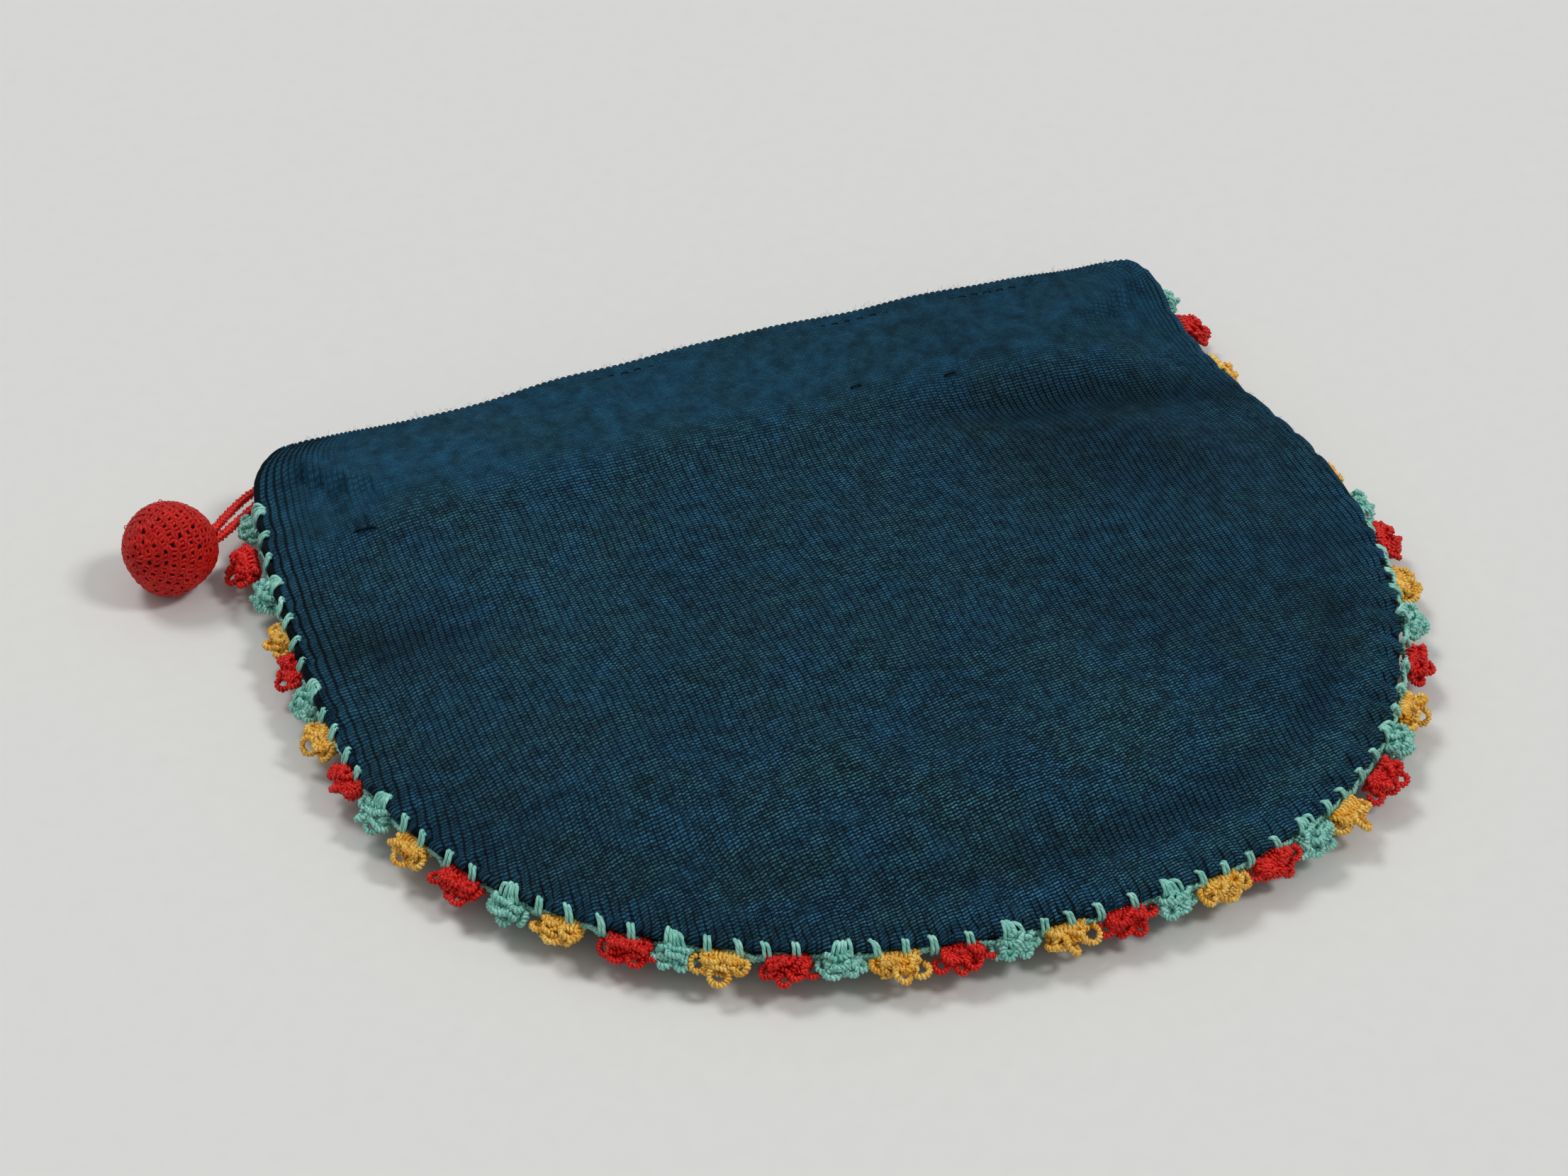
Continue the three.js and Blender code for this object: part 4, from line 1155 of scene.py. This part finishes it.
zipTapes = [zipTape("zipTapeFront", "front"), zipTape("zipTapeBack", "back")]
teeth = zipTeeth()
slider = zipSlider()
print("zip made")


# what each piece rides on; the frame's own parts that the pieces stand for are hidden

slotPieces = {
    "ribbed_cloth": [frontPanel, backPanel, sewn, fuzz], "mint_thread": [edgingChain, overcast],
    "red_thread": [pullCord, pullBall, pullBallCore], "zip_tape": [*zipTapes, teeth, slider],
}
slotted = [(piece, slot) for slot, pieces in slotPieces.items() for piece in pieces]
for piece, slot in slotted + [(s, s.name.split("_")[1] + "_thread") for s in shells]:
    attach(piece, "root")
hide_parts("front_panel")
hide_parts("back_panel")
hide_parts("pull_cord")
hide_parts("pull_ball")
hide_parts("zip")


# table and light

stageLook = {"floor": "#e3e3e0", "floorDark": "#dededb", "world": 0.4,
             # place, size in metres and power of the two soft lamps
             "lamps": [((2.86, -1.73, 3.98), 1.1, 92.0), ((-1.13, 2.51, 4.41), 1.6, 88.0)]}
bpy.ops.object.select_all(action="DESELECT")
bpy.ops.mesh.primitive_plane_add(size=6, location=(0, 0, 0))
floor = bpy.context.object
floor.name = "paleTable"
laminate = plainMaterial("matt_white_laminate", stageLook["floor"], stageLook["floorDark"], 3.0, 0.6)
floor.data.materials.append(laminate)
floor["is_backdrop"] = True

for number, (place, size, power) in enumerate(stageLook["lamps"]):
    bpy.ops.object.light_add(type="AREA", location=place)
    lamp = bpy.context.object
    lamp.name = "softbox%d" % (number + 1)
    lamp.rotation_euler = Vector(place).to_track_quat("Z", "Y").to_euler()
    lamp.data.shape = "SQUARE"
    lamp.data.size = size
    lamp.data.energy = power

world = bpy.data.worlds.new("paleRoom")
bpy.context.scene.world = world
world.use_nodes = True
backdrop = world.node_tree.nodes["Background"]
backdrop.inputs["Color"].default_value = linear("#f4f6f6")
backdrop.inputs["Strength"].default_value = stageLook["world"]

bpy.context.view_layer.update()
solidPieces = [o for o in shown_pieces() if o.type == "MESH"]
print("triangles:", sum(len(p.vertices) - 2 for o in solidPieces for p in o.data.polygons))
